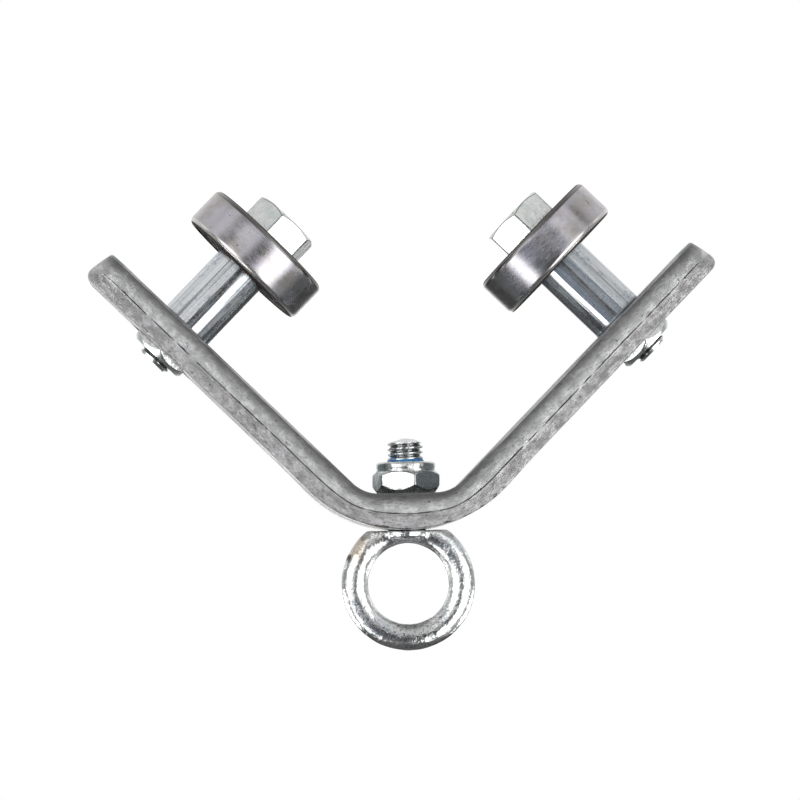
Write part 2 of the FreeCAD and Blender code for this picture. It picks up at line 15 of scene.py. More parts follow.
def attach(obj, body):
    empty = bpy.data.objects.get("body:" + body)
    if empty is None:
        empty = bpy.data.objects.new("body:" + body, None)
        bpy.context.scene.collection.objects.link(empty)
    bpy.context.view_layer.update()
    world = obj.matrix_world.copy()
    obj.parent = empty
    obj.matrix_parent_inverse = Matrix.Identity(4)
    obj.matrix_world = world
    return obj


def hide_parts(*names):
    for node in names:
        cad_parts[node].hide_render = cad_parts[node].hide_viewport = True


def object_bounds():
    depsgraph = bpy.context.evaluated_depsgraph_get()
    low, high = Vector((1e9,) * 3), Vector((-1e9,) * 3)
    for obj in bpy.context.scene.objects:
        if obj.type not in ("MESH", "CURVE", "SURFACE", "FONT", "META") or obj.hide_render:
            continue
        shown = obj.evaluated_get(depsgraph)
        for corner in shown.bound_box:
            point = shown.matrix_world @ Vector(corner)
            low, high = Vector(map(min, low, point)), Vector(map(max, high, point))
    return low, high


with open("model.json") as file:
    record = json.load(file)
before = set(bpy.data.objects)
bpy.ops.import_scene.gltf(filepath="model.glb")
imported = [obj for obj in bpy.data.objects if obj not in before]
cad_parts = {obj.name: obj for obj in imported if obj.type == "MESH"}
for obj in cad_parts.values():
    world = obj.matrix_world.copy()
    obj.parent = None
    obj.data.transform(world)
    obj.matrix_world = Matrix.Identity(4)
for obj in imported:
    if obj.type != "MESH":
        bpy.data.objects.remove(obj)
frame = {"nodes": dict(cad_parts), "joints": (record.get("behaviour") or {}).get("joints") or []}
cad_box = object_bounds()

MM = 0.001
SIDES = ("left", "right")
SMOOTH_ANGLE = math.radians(32)

# ---------------- sizes, in millimetres and degrees

# Bent bar
BAR_THICKNESS = 10.0
BAR_HALF_WIDTH = 20.0
BEND_ANGLE = math.radians(45)
INNER_FLAT = 7.958
INNER_BEND_RADIUS = 10.0
OUTER_FLAT = 0.916
OUTER_BEND_RADIUS = 37.0
BAR_INNER_LEVEL = 25.0
BAR_OUTER_LEVEL = 15.0
ARM_FROM_KNEE = 97.9
KNEE = 12.1
BAR_CORNER = 9.0
ROLLED_EDGE = (2.3, 4.7)
OUTER_EDGE = 0.45
OUTER_CROWN = 0.55
END_INNER_INSET = 1.3
END_OUTER_RADIUS = 2.4
SEAM_LEVEL = 5.7
SEAM_DEPTH = 0.34
SEAM_HALF_WIDTH = 0.12
TORN_ZONE_STEP = 0.10
TORN_ZONE_ROUGHNESS = 0.09
SEAM_LIP = 0.12
SEAM_LIP_OFFSET = 0.36
SEAM_LIP_HALF_WIDTH = 0.2
END_LEAN_DEPTH = 7.0
END_NOSE = 0.5
END_NOSE_DEPTH = 0.7
AXLE_HOLE = 10.5
EYE_HOLE = 10.12
NUT_RECESS = 22.0
NUT_RECESS_DEPTH = 2.9
BAR_STEP = 0.5

# Axle: sleeve, bolt, thin nut
SLEEVE_RADIUS = 8.0
SLEEVE_BORE = 6.0
SLEEVE_LENGTH = 34.0
SHOULDER_RADIUS = 5.95
HEAD_FLATS = 18.0
HEAD_HEIGHT = 7.5
HEAD_TURN = {"left": 21.0, "right": 30.0}
AXLE_NUT_FLATS = 17.0
AXLE_NUT_TOP = -7.1
AXLE_NUT_HEIGHT = 5.0
AXLE_NUT_TURN = 30.0
AXLE_END = -13.8
AXLE_END_CHAMFER = 0.9
CHAMFER_SHARE = 0.97
THREAD_RADIUS = 5.0
THREAD_PITCH = 1.5
THREAD_DEPTH = 0.86

# Ball bearing used as the wheel
WHEEL_RADIUS = 20.0
WHEEL_NEAR = 22.0
WHEEL_WIDTH = 12.0
WHEEL_CORNER = 1.6
BALL_PITCH_RADIUS = 14.25
RACEWAY_RADIUS = 3.42
INNER_LAND = 12.3
OUTER_LAND = 16.7
SHIELD_SEAT = 17.4
SHIELD_SEAT_DEPTH = 1.3
SHIELD_BORE = 12.5
SHIELD_INSET = 0.5
SHIELD_THICKNESS = 0.4

# Eye bolt and its locking nut
LOCK_NUT_SEAT = 24.25
NUT_SEAT_RADIUS = 10.5
NUT_SEAT_DEPTH = 0.8
LOCK_NUT_FLATS = 17.0
LOCK_NUT_TURN = 44.0
LOCK_NUT_HEX_HEIGHT = 7.2
LOCK_NUT_HEIGHT = 9.8
LOCK_NUT_COLLAR_RADIUS = 8.3
LOCK_NUT_LIP = 0.6
LOCK_NUT_LIP_RADIUS = 5.4
INSERT_RADIUS = 7.0
INSERT_HEIGHT = 2.6
INSERT_RISE = 1.1
INSERT_TIP_RADIUS = 4.75
EYE_THREAD_START = 15.5
EYE_THREAD_TOP = 39.4
EYE_TIP = 40.7
EYE_VOXEL = 0.34
EYE_STAIN_SHIFT = (14.0, 3.0, -5.5)
EYE_SPOT_SHIFT = (16.6, 2.5, -7.4)

# Floor: a sweep that rises behind the trolley
FLOOR_DROP = 70.0
FLOOR_REACH = 3000.0
FLOOR_BEND_START = 800.0
FLOOR_BEND_RADIUS = 900.0
FLOOR_HEIGHT = 3500.0

# Camera: angles and distance of the view, and the width it covers at the object
CAMERA_AZIMUTH = 1.451
CAMERA_ELEVATION = -2.612
CAMERA_ROLL = -1.328
CAMERA_DISTANCE = 1300.0
CAMERA_AIM = Vector((-1.1, 0.0, 51.5))
VIEW_WIDTH = 224.2
SENSOR = 36.0


# ---------------- mesh helpers


def fbm(points, scale, octaves=3, seed=0.0):
    """Fractal noise, about -1 to 1, at points in millimetres; scale is in features per millimetre."""
    shift = Vector((seed * 17.31, seed * 5.77, seed * 9.13))
    total = np.zeros(len(points))
    share = 1.0
    for octave in range(octaves):
        factor = scale * 2.0**octave
        total += share * np.array([noise.noise(Vector(p) * factor + shift) for p in points])
        share *= 0.5
    return total


def smooth_step(low, high, value):
    """0 below low, 1 above high and smooth in between; low may be the larger one."""
    t = np.clip((value - low) / (high - low), 0.0, 1.0)
    return t * t * (3.0 - 2.0 * t)


def soft_min(a, b, softness):
    """The smaller of two values, with the corner where they cross rounded off."""
    return -softness * np.log(np.exp(-a / softness) + np.exp(-b / softness))


def round_corners(corners, step=9.0):
    """Outline through corners (radius, height, fillet), closed, with an arc at each fillet."""
    outline = []
    count = len(corners)
    for i, (x, y, fillet) in enumerate(corners):
        here = np.array((x, y))
        if fillet <= 0:
            outline.append(here)
            continue
        before = np.array(corners[i - 1][:2]) - here
        after = np.array(corners[(i + 1) % count][:2]) - here
        before = before / np.linalg.norm(before)
        after = after / np.linalg.norm(after)
        half = math.acos(np.clip(before @ after, -1, 1)) / 2
        reach = fillet / math.tan(half)
        bisector = (before + after) / np.linalg.norm(before + after)
        centre = here + bisector * fillet / math.sin(half)
        start = here + before * reach - centre
        end = here + after * reach - centre
        sweep = math.atan2(start[0] * end[1] - start[1] * end[0], start @ end)
        pieces = max(2, int(abs(math.degrees(sweep)) / step))
        for k in range(pieces + 1):
            a = sweep * k / pieces
            turned = (
                start[0] * math.cos(a) - start[1] * math.sin(a),
                start[0] * math.sin(a) + start[1] * math.cos(a),
            )
            outline.append(centre + np.array(turned))
    return np.array(outline)


def refine(outline, longest):
    """The closed outline with its long stretches divided, so that surface noise has points to move."""
    points = []
    for a, b in zip(outline, np.roll(outline, -1, axis=0)):
        parts = max(1, math.ceil(np.linalg.norm(b - a) / longest))
        for k in range(parts):
            points.append(a + (b - a) * k / parts)
    return np.array(points)


def ring_faces(rows, steps, closed):
    """Quads between neighbouring rows of a rows x steps grid whose columns close into rings."""
    faces = []
    last = rows if closed else rows - 1
    for i in range(last):
        low = i * steps
        high = ((i + 1) % rows) * steps
        for j in range(steps):
            k = (j + 1) % steps
            faces.append((low + j, low + k, high + k, high + j))
    return faces


def step_angles(steps):
    return np.arange(steps) * 2 * math.pi / steps


def axis_distance(points):
    return np.linalg.norm(points[:, :2], axis=1)


def push_out(points, amount):
    """Moves points away from the axis by the amounts."""
    reach = np.maximum(axis_distance(points), 1e-6)
    points[:, :2] += points[:, :2] / reach[:, None] * amount[:, None]


def polar_grid(radii, levels, steps, closed):
    """(points, faces) of rows of rings. Open ends get a fan.

    A row's radius and level are one number each, or one number for every step.
    """
    rows = len(radii)
    radius = np.array([np.broadcast_to(r, steps) for r in radii])
    height = np.array([np.broadcast_to(z, steps) for z in levels])
    angle = step_angles(steps)
    points = np.stack([radius * np.cos(angle), radius * np.sin(angle), height], axis=2)
    points = points.reshape(-1, 3)
    faces = ring_faces(rows, steps, closed)
    if not closed:
        middle = len(points)
        ends = [points[:steps].mean(axis=0), points[-steps:].mean(axis=0)]
        points = np.vstack([points, ends])
        last = (rows - 1) * steps
        for j in range(steps):
            k = (j + 1) % steps
            faces.append((middle, k, j))
            faces.append((middle + 1, last + j, last + k))
    return points, faces


def lathe(outline, steps=192):
    """(points, faces) of a closed outline of (radius, height) turned about the axis."""
    return polar_grid(outline[:, 0], outline[:, 1], steps, closed=True)


def box_points(low, high):
    """(points, faces) of a cutting block."""
    x, y, z = zip(low, high)
    faces = [(0, 1, 3, 2), (4, 6, 7, 5), (0, 4, 5, 1), (2, 3, 7, 6), (0, 2, 6, 4), (1, 5, 7, 3)]
    return [(a, b, c) for a in x for b in y for c in z], faces


def hex_radius(angle, across_flats, turn):
    """Radius of a hexagon with slightly rounded corners; turn is the angle of its first corner."""
    sharpness = 70.0
    total = np.zeros_like(angle)
    for k in range(6):
        flat = math.radians(turn + 30 + 60 * k)
        total += np.clip(np.cos(angle - flat), 0, None) ** sharpness
    return across_flats / 2 / total ** (1 / sharpness)


def hex_rows(levels, across_flats, turn, steps, top, bottom=None):
    """Radius rows of a hexagon at the levels, cut by a cone at its top and, if given, at its bottom.

    Each cone is (level, share of the half width left there, radius per height).
    """
    row = hex_radius(step_angles(steps), across_flats, turn)
    half = across_flats / 2
    softness = 0.05
    rows = []
    for z in levels:
        level, share, slope = top
        cut = soft_min(row, half * share + (level - z) * slope, softness)
        if bottom is not None:
            level, share, slope = bottom
            cut = soft_min(cut, half * share + (z - level) * slope, softness)
        rows.append(cut)
    return rows


def hex_edges(points, across_flats, turn, cut, top):
    """How dark the painted shade is along a hexagon's corners and along the edge of its top chamfer."""
    angle = np.arctan2(points[:, 1], points[:, 0])
    from_corner = (np.degrees(angle) - turn + 30) % 60 - 30
    distance = axis_distance(points)
    width = np.radians(np.abs(from_corner)) * distance
    outside = smooth_step(across_flats / 2 - 0.9, across_flats / 2 - 0.5, distance)
    corner = np.exp(-((width / 0.16) ** 2))
    start = top - (hex_radius(angle, across_flats, turn) - across_flats / 2 * cut) / math.sqrt(3)
    chamfer = np.exp(-(((points[:, 2] - start) / 0.13) ** 2))
    return outside * np.maximum(0.7 * corner, chamfer)


def thread_radius(angle, level):
    """Radius of a right-hand metric thread, with a flat crest and a rounded root."""
    phase = (level / THREAD_PITCH - angle / (2 * math.pi)) % 1.0
    ridge = 1 - np.abs(phase * 2 - 1)
    return THREAD_RADIUS - THREAD_DEPTH * (1 - smooth_step(0.06, 0.86, ridge))


def to_mesh(name, points, faces):
    mesh = bpy.data.meshes.new(name)
    mesh.from_pydata([tuple(p) for p in points], [], faces)
    mesh.validate()
    mesh.update()
    return mesh


def to_object(name, mesh):
    obj = bpy.data.objects.new(name, mesh)
    bpy.context.scene.collection.objects.link(obj)
    return obj


def mesh_points(mesh):
    values = np.empty(len(mesh.vertices) * 3, np.float32)
    mesh.vertices.foreach_get("co", values)
    return values.reshape(-1, 3).astype(float)


def set_points(mesh, points):
    mesh.vertices.foreach_set("co", np.asarray(points, np.float32).ravel())
    mesh.update()


def apply_modifiers(obj):
    """Bakes the object's modifiers into its mesh."""
    depsgraph = bpy.context.evaluated_depsgraph_get()
    mesh = bpy.data.meshes.new_from_object(obj.evaluated_get(depsgraph), depsgraph=depsgraph)
    obj.modifiers.clear()
    obj.data = mesh
    return mesh


def relax_points(mesh, points, share, rounds):
    """Moves points towards the mean of their neighbours, as far as share says, to round off a corner."""
    edges = np.empty(len(mesh.edges) * 2, np.int32)
    mesh.edges.foreach_get("vertices", edges)
    a, b = edges.reshape(-1, 2).T
    size = len(points)
    count = np.bincount(np.concatenate([a, b]), minlength=size)
    for _ in range(rounds):
        total = np.zeros_like(points)
        for k in range(3):
            total[:, k] = np.bincount(a, points[b, k], size) + np.bincount(b, points[a, k], size)
        points = points + share[:, None] * 0.8 * (total / count[:, None] - points)
    return points


def combine(obj, tool, operation):
    """Cuts obj with the tool, or joins the two, and removes the tool."""
    modifier = obj.modifiers.new("combine", "BOOLEAN")
    modifier.operation = operation
    modifier.solver = "EXACT"
    modifier.object = tool
    apply_modifiers(obj)
    bpy.data.objects.remove(tool)


def drill(obj, radius, centre, low, high, steps=96):
    """Cuts a round hole along the object's third axis."""
    points, faces = polar_grid([radius, radius], [low, high], steps, closed=False)
    points[:, :2] += centre
    combine(obj, to_object("drill", to_mesh("drill", points, faces)), "DIFFERENCE")


def finish_piece(obj, material, body, node, local, place_matrix=None):
    """Puts a mesh in the frame in place of its CAD node, and keeps its local place for the material."""
    mesh = obj.data
    points = mesh_points(mesh)
    place = mesh.attributes.new("place", "FLOAT_VECTOR", "POINT")
    place.data.foreach_set("vector", np.asarray(local, np.float32).ravel())
    if place_matrix is not None:
        turned = points @ np.array(place_matrix.to_3x3()).T
        points = turned + np.array(place_matrix.translation)
    set_points(mesh, points * MM)
    mesh.polygons.foreach_set("use_smooth", [True] * len(mesh.polygons))
    mesh.set_sharp_from_angle(angle=SMOOTH_ANGLE)
    mesh.materials.clear()
    mesh.materials.append(material)
    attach(obj, body)
    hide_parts(node)


def add_painted_shade(obj, values):
    # Stores painted shade, from 0 to 1, on the mesh's points.
    layer = obj.data.attributes.new("dirt", "FLOAT", "POINT")
    layer.data.foreach_set("value", values.astype(np.float32))


def build_piece(name, shape, material, body, node, place_matrix=None, dirt=None):
    """Makes one piece from its shape, which is (points, faces) in millimetres about its own axis."""
    obj = to_object(name, to_mesh(name, *shape))
    if dirt is not None:
        add_painted_shade(obj, dirt)
    finish_piece(obj, material, body, node, mesh_points(obj.data), place_matrix)


# ---------------- material helpers


class Nodes:
    """A shader node tree, with short calls for adding nodes to it."""

    def __init__(self, owner):
        owner.use_nodes = True
        self.nodes = owner.node_tree.nodes
        self.links = owner.node_tree.links

    def plug(self, value, socket):
        """Links another node's output, or sets a number, a vector or a colour."""
        if isinstance(value, bpy.types.NodeSocket):
            self.links.new(value, socket)
        elif isinstance(value, tuple) and len(value) == 3 and len(socket.default_value) == 4:
            socket.default_value = (*value, 1.0)
        else:
            socket.default_value = value

    def add(self, kind, inputs=None, **settings):
        """A new node with its settings and inputs."""
        node = self.nodes.new("ShaderNode" + kind)
        for name, value in settings.items():
            setattr(node, name, value)
        for key, value in (inputs or {}).items():
            self.plug(value, node.inputs[key])
        return node

    def span(self, value, low, high, first=0.0, last=1.0):
        """The value mapped smoothly from low..high to first..last."""
        inputs = {"Value": value, "From Min": low, "From Max": high, "To Min": first, "To Max": last}
        return self.add("MapRange", inputs, interpolation_type="SMOOTHSTEP").outputs["Result"]

    def mix(self, share, a, b):
        """Colour a where the share is 0, and b where it is 1."""
        return self.add("Mix", {"Factor": share, 6: a, 7: b}, data_type="RGBA").outputs[2]


class Metal(Nodes):
    """One material, laid out in millimetres along its piece's own axes."""

    def __init__(self, name, kept_mesh=False):
        self.material = bpy.data.materials.new(name)
        super().__init__(self.material)
        if kept_mesh:
            metres = self.add("TexCoord").outputs["Object"]
            scale = self.add("VectorMath", {0: metres, "Scale": 1 / MM}, operation="SCALE")
            self.place = scale.outputs["Vector"]
        else:
            self.place = self.add("Attribute", attribute_name="place").outputs["Vector"]

    def set(self, name, value):
        self.plug(value, self.nodes["Principled BSDF"].inputs[name])

    def finish(self, colour, metallic, roughness, normal):
        self.set("Base Color", colour)
        self.set("Metallic", metallic)
        self.set("Roughness", roughness)
        self.set("Normal", normal)
        return self.material

    def stretch(self, factors=(1, 1, 1), shift=(0, 0, 0)):
        """The place of a point, scaled and moved on each axis."""
        inputs = {"Vector": self.place, "Scale": factors, "Location": shift}
        return self.add("Mapping", inputs).outputs["Vector"]

    def dirt(self):
        """The painted shade stored on the mesh."""
        return self.add("Attribute", attribute_name="dirt").outputs["Fac"]

    def axis(self, index):
        """One coordinate of the place."""
        return self.add("SeparateXYZ", {0: self.place}).outputs[index]

    def length(self, vector):
        return self.add("VectorMath", {0: vector}, operation="LENGTH").outputs["Value"]

    def noise(self, scale, detail, rough, vector=None):
        """Fractal noise from 0 to 1; scale is in features per millimetre."""
        vector = vector or self.place
        inputs = {"Vector": vector, "Scale": scale, "Detail": detail, "Roughness": rough}
        return self.add("TexNoise", inputs).outputs["Fac"]

    def maths(self, operation, a, b):
        return self.add("Math", {0: a, 1: b}, operation=operation).outputs[0]

    def absolute(self, value):
        return self.maths("ABSOLUTE", value, 0.0)

    def minus(self, a, b):
        return self.maths("SUBTRACT", a, b)

    def times(self, a, b):
        return self.maths("MULTIPLY", a, b)

    def plus(self, a, b):
        return self.maths("ADD", a, b)

    def cover(self, base, share, most, colour):
        """The base with a colour over it by the share; most is how far the fullest share covers it."""
        return self.mix(self.times(share, most), base, colour)

    def bump(self, height, distance, strength, below=None):
        """Surface normal for a height map; distance is in millimetres."""
        node = self.add("Bump", {"Height": height, "Distance": distance * MM, "Strength": strength})
        if below is not None:
            self.plug(below, node.inputs["Normal"])
        return node.outputs["Normal"]


def bar_steel():
    """Dull rolled bar: scale on the wide faces, and cut edges smooth above their seam and torn below it;
    painted shade darkens the rolled edges, the seam groove and the inner face round the nut.
    """
    m = Metal("bar_steel")
    level = m.axis(2)
    across = m.absolute(m.axis(1))
    along = m.absolute(m.axis(0))
    side = m.span(across, BAR_HALF_WIDTH - 2.2, BAR_HALF_WIDTH - 1.2)
    cloud = m.span(m.noise(0.22, 4, 0.6, m.stretch((0.5, 1.0, 1.0))), 0.36, 0.64)
    grain = m.noise(2.1, 5, 0.74, m.stretch((0.7, 1.0, 1.0)))
    blotch = m.noise(0.55, 4, 0.65, m.stretch((0.7, 0.5, 1.0), (3.0, 0.0, 9.0)))
    speck = m.noise(0.9, 4, 0.72, m.stretch((0.6, 1.0, 1.0), (3.0, 5.0, 29.0)))
    fleck = m.span(m.noise(1.1, 3, 0.6, m.stretch((0.6, 1.0, 1.0), (31.0, 7.0, 3.0))), 0.64, 0.70)
    rim = m.span(m.plus(level, m.times(speck, 6.0)), 12.95, 13.4)
    torn = m.span(level, SEAM_LEVEL + 0.1, SEAM_LEVEL + 0.6)
    streak = m.noise(1.25, 5, 0.72, m.stretch((0.35, 1.0, 1.0), (17.0, 2.0, 5.0)))
    bright = m.mix(m.span(blotch, 0.40, 0.66), (0.43, 0.435, 0.43), (0.67, 0.675, 0.68))
    bright = m.mix(m.span(streak, 0.50, 0.64, 0.0, 0.55), bright, (0.25, 0.25, 0.245))
    # Painted shade: the cut edges darken towards the inner face, where the rolled edge turns up.
    base = m.mix(m.span(level, 0.9, 4.8, 0.86, 0.0), bright, (0.13, 0.128, 0.128))
    edge_line = m.times(m.span(level, 0.75, 0.35), m.span(along, 24.0, 34.0))
    base = m.mix(edge_line, base, (0.72, 0.71, 0.74))
    rough_zone = m.mix(m.span(blotch, 0.36, 0.66), (0.31, 0.305, 0.305), (0.57, 0.56, 0.57))
    rough_zone = m.mix(m.span(grain, 0.40, 0.56, 0.45, 0.0), rough_zone, (0.18, 0.17, 0.17))
    base = m.mix(torn, base, rough_zone)
    base = m.mix(m.times(m.times(rim, side), 0.85), base, (0.06, 0.056, 0.052))
    base = m.cover(base, fleck, 0.8, (0.07, 0.065, 0.065))
    # Painted shade in the seam groove, read from the mesh.
    base = m.cover(base, m.dirt(), 0.6, (0.05, 0.047, 0.047))
    scale = m.mix(m.span(grain, 0.3, 0.7), (0.195, 0.218, 0.225), (0.33, 0.36, 0.37))
    # Painted shadow of the locking nut: the inner face goes near-black within about 9 to 17 mm of the
    # middle.
    scale = m.mix(m.span(along, 17.0, 9.0, 0.0, 0.8), scale, (0.04, 0.038, 0.036))
    inner = m.times(m.span(level, 1.1, 0.3), m.minus(1.0, side))
    outer = m.times(m.span(level, BAR_THICKNESS - 0.5, BAR_THICKNESS - 0.1), m.span(side, 1.0, 0.6))
    base = m.mix(inner, base, scale)
    rubbed = m.mix(cloud, (0.70, 0.69, 0.68), (0.86, 0.85, 0.83))
    dull = m.mix(m.span(grain, 0.3, 0.7), (0.20, 0.198, 0.195), (0.33, 0.325, 0.32))
    worn_edge = m.span(m.plus(across, m.times(blotch, 5.0)), 10.0, 14.0)
    base = m.mix(outer, base, m.mix(worn_edge, dull, rubbed))
    rough = m.plus(m.span(cloud, 0.0, 1.0, 0.38, 0.26), m.span(grain, 0.3, 0.7, 0.0, 0.10))
    rough = m.minus(rough, m.times(outer, 0.10))
    fine = m.bump(grain, 0.16, 0.9)
    return m.finish(base, 0.92, rough, m.bump(cloud, 0.5, 0.4, fine))


def zinc_plate():
    """Bright bluish zinc over drawn tube: lengthwise draw lines, mottled dark patches and a few specks."""
    m = Metal("zinc_plate")
    cloud = m.noise(0.2, 4, 0.6)
    mottle = m.span(m.noise(0.9, 4, 0.65), 0.42, 0.62)
    draw = m.noise(0.32, 2, 0.5, m.stretch((1.0, 1.0, 0.04)))
    line = m.noise(0.9, 3, 0.6, m.stretch((1.0, 1.0, 0.04), (7.0, 3.0, 0.0)))
    fleck = m.span(m.noise(1.4, 2, 0.5, m.stretch(shift=(11.0, 3.0, 9.0))), 0.70, 0.75)
    patch = m.span(cloud, 0.47, 0.60)
    base = m.mix(m.span(cloud, 0.3, 0.7), (0.67, 0.70, 0.715), (0.73, 0.755, 0.79))
    base = m.mix(m.times(patch, m.times(mottle, 0.75)), base, (0.30, 0.35, 0.43))
    base = m.mix(m.span(draw, 0.46, 0.58, 0.0, 0.6), base, (0.36, 0.39, 0.405))
    base = m.mix(m.span(line, 0.56, 0.66, 0.0, 0.3), base, (0.33, 0.35, 0.37))
    base = m.cover(base, fleck, 0.8, (0.09, 0.09, 0.10))
    rough = m.plus(m.span(cloud, 0.3, 0.7, 0.13, 0.2), m.span(mottle, 0.0, 1.0, 0.0, 0.05))
    fine = m.bump(m.noise(2.0, 3, 0.6), 0.02, 0.5)
    fine = m.bump(line, 0.06, 0.5, fine)
    return m.finish(base, 1.0, rough, m.bump(draw, 0.7, 0.6, fine))


def zinc_hex():
    """Zinc on hot-formed hexagons: lightly dimpled flats, with painted shade along the edges and in the
    thread roots, read from the mesh.
    """
    m = Metal("zinc_hex")
    cloud = m.noise(0.35, 3, 0.6)
    dimple = m.noise(1.3, 4, 0.65)
    base = m.mix(m.span(cloud, 0.3, 0.7), (0.63, 0.675, 0.675), (0.80, 0.81, 0.79))
    base = m.mix(m.span(dimple, 0.60, 0.76, 0.0, 0.55), base, (0.42, 0.44, 0.43))
    # Painted shade from the mesh: dark lines along the hexagon edges and dark thread roots.
    base = m.cover(base, m.dirt(), 0.85, (0.06, 0.065, 0.065))
    fine = m.bump(dimple, 0.045, 0.8)
    return m.finish(base, 1.0, m.span(dimple, 0.3, 0.7, 0.18, 0.3), m.bump(cloud, 0.25, 0.5, fine))


def forged_zinc():
    """Rough forging under bright zinc: small dark pits, denser towards the bottom as painted shade, a stain
    near the top and painted shade in the thread roots.
    """
    m = Metal("forged_zinc")
    cloud = m.noise(0.2, 3, 0.55)
    skin = m.noise(1.15, 3, 0.62)
    dark = m.span(m.noise(1.7, 4, 0.72), 0.54, 0.62)
    low = m.span(m.axis(2), -5.0, -13.0)
    pit = m.span(m.noise(1.1, 3, 0.6, m.stretch(shift=(5.0, 21.0, 2.0))), 0.66, 0.74)
    ragged = m.times(m.noise(0.6, 3, 0.6), 2.5)
    stain = m.span(m.plus(m.length(m.stretch((1.0, 1.0, 0.5), EYE_STAIN_SHIFT)), ragged), 5.2, 2.6)
    spot = m.span(m.plus(m.length(m.stretch(shift=EYE_SPOT_SHIFT)), ragged), 2.7, 2.1)
    # Painted shade in the thread roots near the top of the thread.
    root = m.span(m.length(m.stretch((1.0, 1.0, 0.0))), THREAD_RADIUS - 0.25, THREAD_RADIUS - 0.7)
    root = m.times(root, m.span(m.axis(2), 31.0, 32.0))
    root = m.times(root, m.span(m.axis(2), EYE_THREAD_TOP + 0.1, EYE_THREAD_TOP - 0.4))
    base = m.mix(m.span(cloud, 0.3, 0.7), (0.67, 0.70, 0.71), (0.83, 0.83, 0.82))
    base = m.cover(base, stain, 0.6, (0.58, 0.47, 0.33))
    base = m.cover(base, spot, 0.9, (0.06, 0.05, 0.045))
    # Dark pits: real pits, with painted shade making them denser towards the bottom of the ring.
    base = m.mix(m.times(dark, m.plus(0.42, m.times(low, 0.45))), base, (0.17, 0.18, 0.19))
    base = m.cover(base, pit, 0.8, (0.10, 0.09, 0.085))
    base = m.cover(base, root, 0.6, (0.15, 0.16, 0.155))
    return m.finish(base, 1.0, m.span(skin, 0.3, 0.7, 0.09, 0.15), m.bump(skin, 0.115, 1.0))


def bearing_steel():
    """Ground bearing steel with a brownish tarnish and dark specks; a painted highlight on the inboard
    corners, painted shade on the outboard corners, and faces painted near-black as painted shade.
    """
    m = Metal("bearing_steel")
    cloud = m.noise(0.13, 3, 0.55)
    lap = m.noise(0.9, 3, 0.6, m.stretch((0.5, 0.5, 1.6)))
    rust = m.span(m.noise(0.3, 3, 0.6, m.stretch(shift=(8.0, 2.0, 17.0))), 0.56, 0.70)
    fleck = m.span(m.noise(0.8, 2, 0.5, m.stretch(shift=(3.0, 13.0, 29.0))), 0.70, 0.75)
    middle = WHEEL_NEAR + WHEEL_WIDTH / 2
    away = m.absolute(m.minus(m.axis(2), middle))
    ragged = m.plus(away, m.times(m.noise(1.2, 3, 0.6), 0.35))
    tread_end = WHEEL_WIDTH / 2 - WHEEL_CORNER
    corner = m.span(ragged, tread_end + 0.25, tread_end + 0.45)
    face = m.span(away, WHEEL_WIDTH / 2 - 0.5, WHEEL_WIDTH / 2 - 0.2)
    base = m.mix(m.span(cloud, 0.35, 0.65), (0.40, 0.385, 0.375), (0.53, 0.515, 0.56))
    base = m.cover(base, rust, 0.4, (0.33, 0.26, 0.21))
    base = m.cover(base, fleck, 0.9, (0.05, 0.04, 0.035))
    # Corners: a painted highlight on the inboard side and painted shade on the outboard side.
    outboard = m.span(m.axis(2), middle, middle + 1.0)
    base = m.mix(corner, base, m.mix(outboard, (0.62, 0.60, 0.58), (0.20, 0.195, 0.19)))
    # Faces painted near-black as painted shade, tinted by the rust, and made rough and dull.
    base = m.mix(face, base, m.mix(rust, (0.04, 0.037, 0.036), (0.10, 0.06, 0.04)))
    m.set("Specular IOR Level", m.span(face, 0.0, 1.0, 0.5, 0.05))
    rough = m.plus(m.span(cloud, 0.3, 0.7, 0.17, 0.24), m.span(lap, 0.35, 0.65, 0.0, 0.07))
    rough = m.plus(rough, m.times(face, 0.4))
    return m.finish(base, m.span(face, 0.0, 1.0, 1.0, 0.0), rough, m.bump(lap, 0.02, 0.5))


def shield_steel():
    """Thin pressed steel, dull and painted near-black as painted shade inside the bearing's faces."""
    m = Metal("shield_steel")
    cloud = m.noise(0.25, 3, 0.55)
    grain = m.noise(1.8, 3, 0.6)
    base = m.mix(m.span(cloud, 0.3, 0.7), (0.05, 0.049, 0.05), (0.09, 0.088, 0.09))
    m.set("Specular IOR Level", 0.1)
    return m.finish(base, 0.5, m.span(grain, 0.3, 0.7, 0.45, 0.6), m.bump(grain, 0.02, 0.5))


def inner_steel(name, light, rough):
    """Steel of the parts inside the bearing, which keep their CAD meshes."""
    m = Metal(name, kept_mesh=True)
    cloud = m.noise(0.5, 3, 0.5)
    dark = tuple(0.8 * c for c in light)
    base = m.mix(m.span(cloud, 0.35, 0.65), dark, light)
    roughness = m.span(cloud, 0.3, 0.7, rough, rough + 0.08)
    return m.finish(base, 1.0, roughness, m.bump(m.noise(2.0, 2, 0.5), 0.01, 0.4))


def nylon():
    """Cloudy blue plastic that lets a little light in."""
    m = Metal("nylon")
    cloud = m.noise(0.9, 3, 0.55)
    base = m.mix(m.span(cloud, 0.3, 0.7), (0.015, 0.13, 0.36), (0.03, 0.25, 0.55))
    m.set("Subsurface Weight", 0.1)
    m.set("Subsurface Scale", 0.001)
    return m.finish(base, 0.0, m.span(cloud, 0.3, 0.7, 0.36, 0.5), m.bump(m.noise(3.0, 3, 0.6), 0.03, 0.5))


# ---------------- bent bar


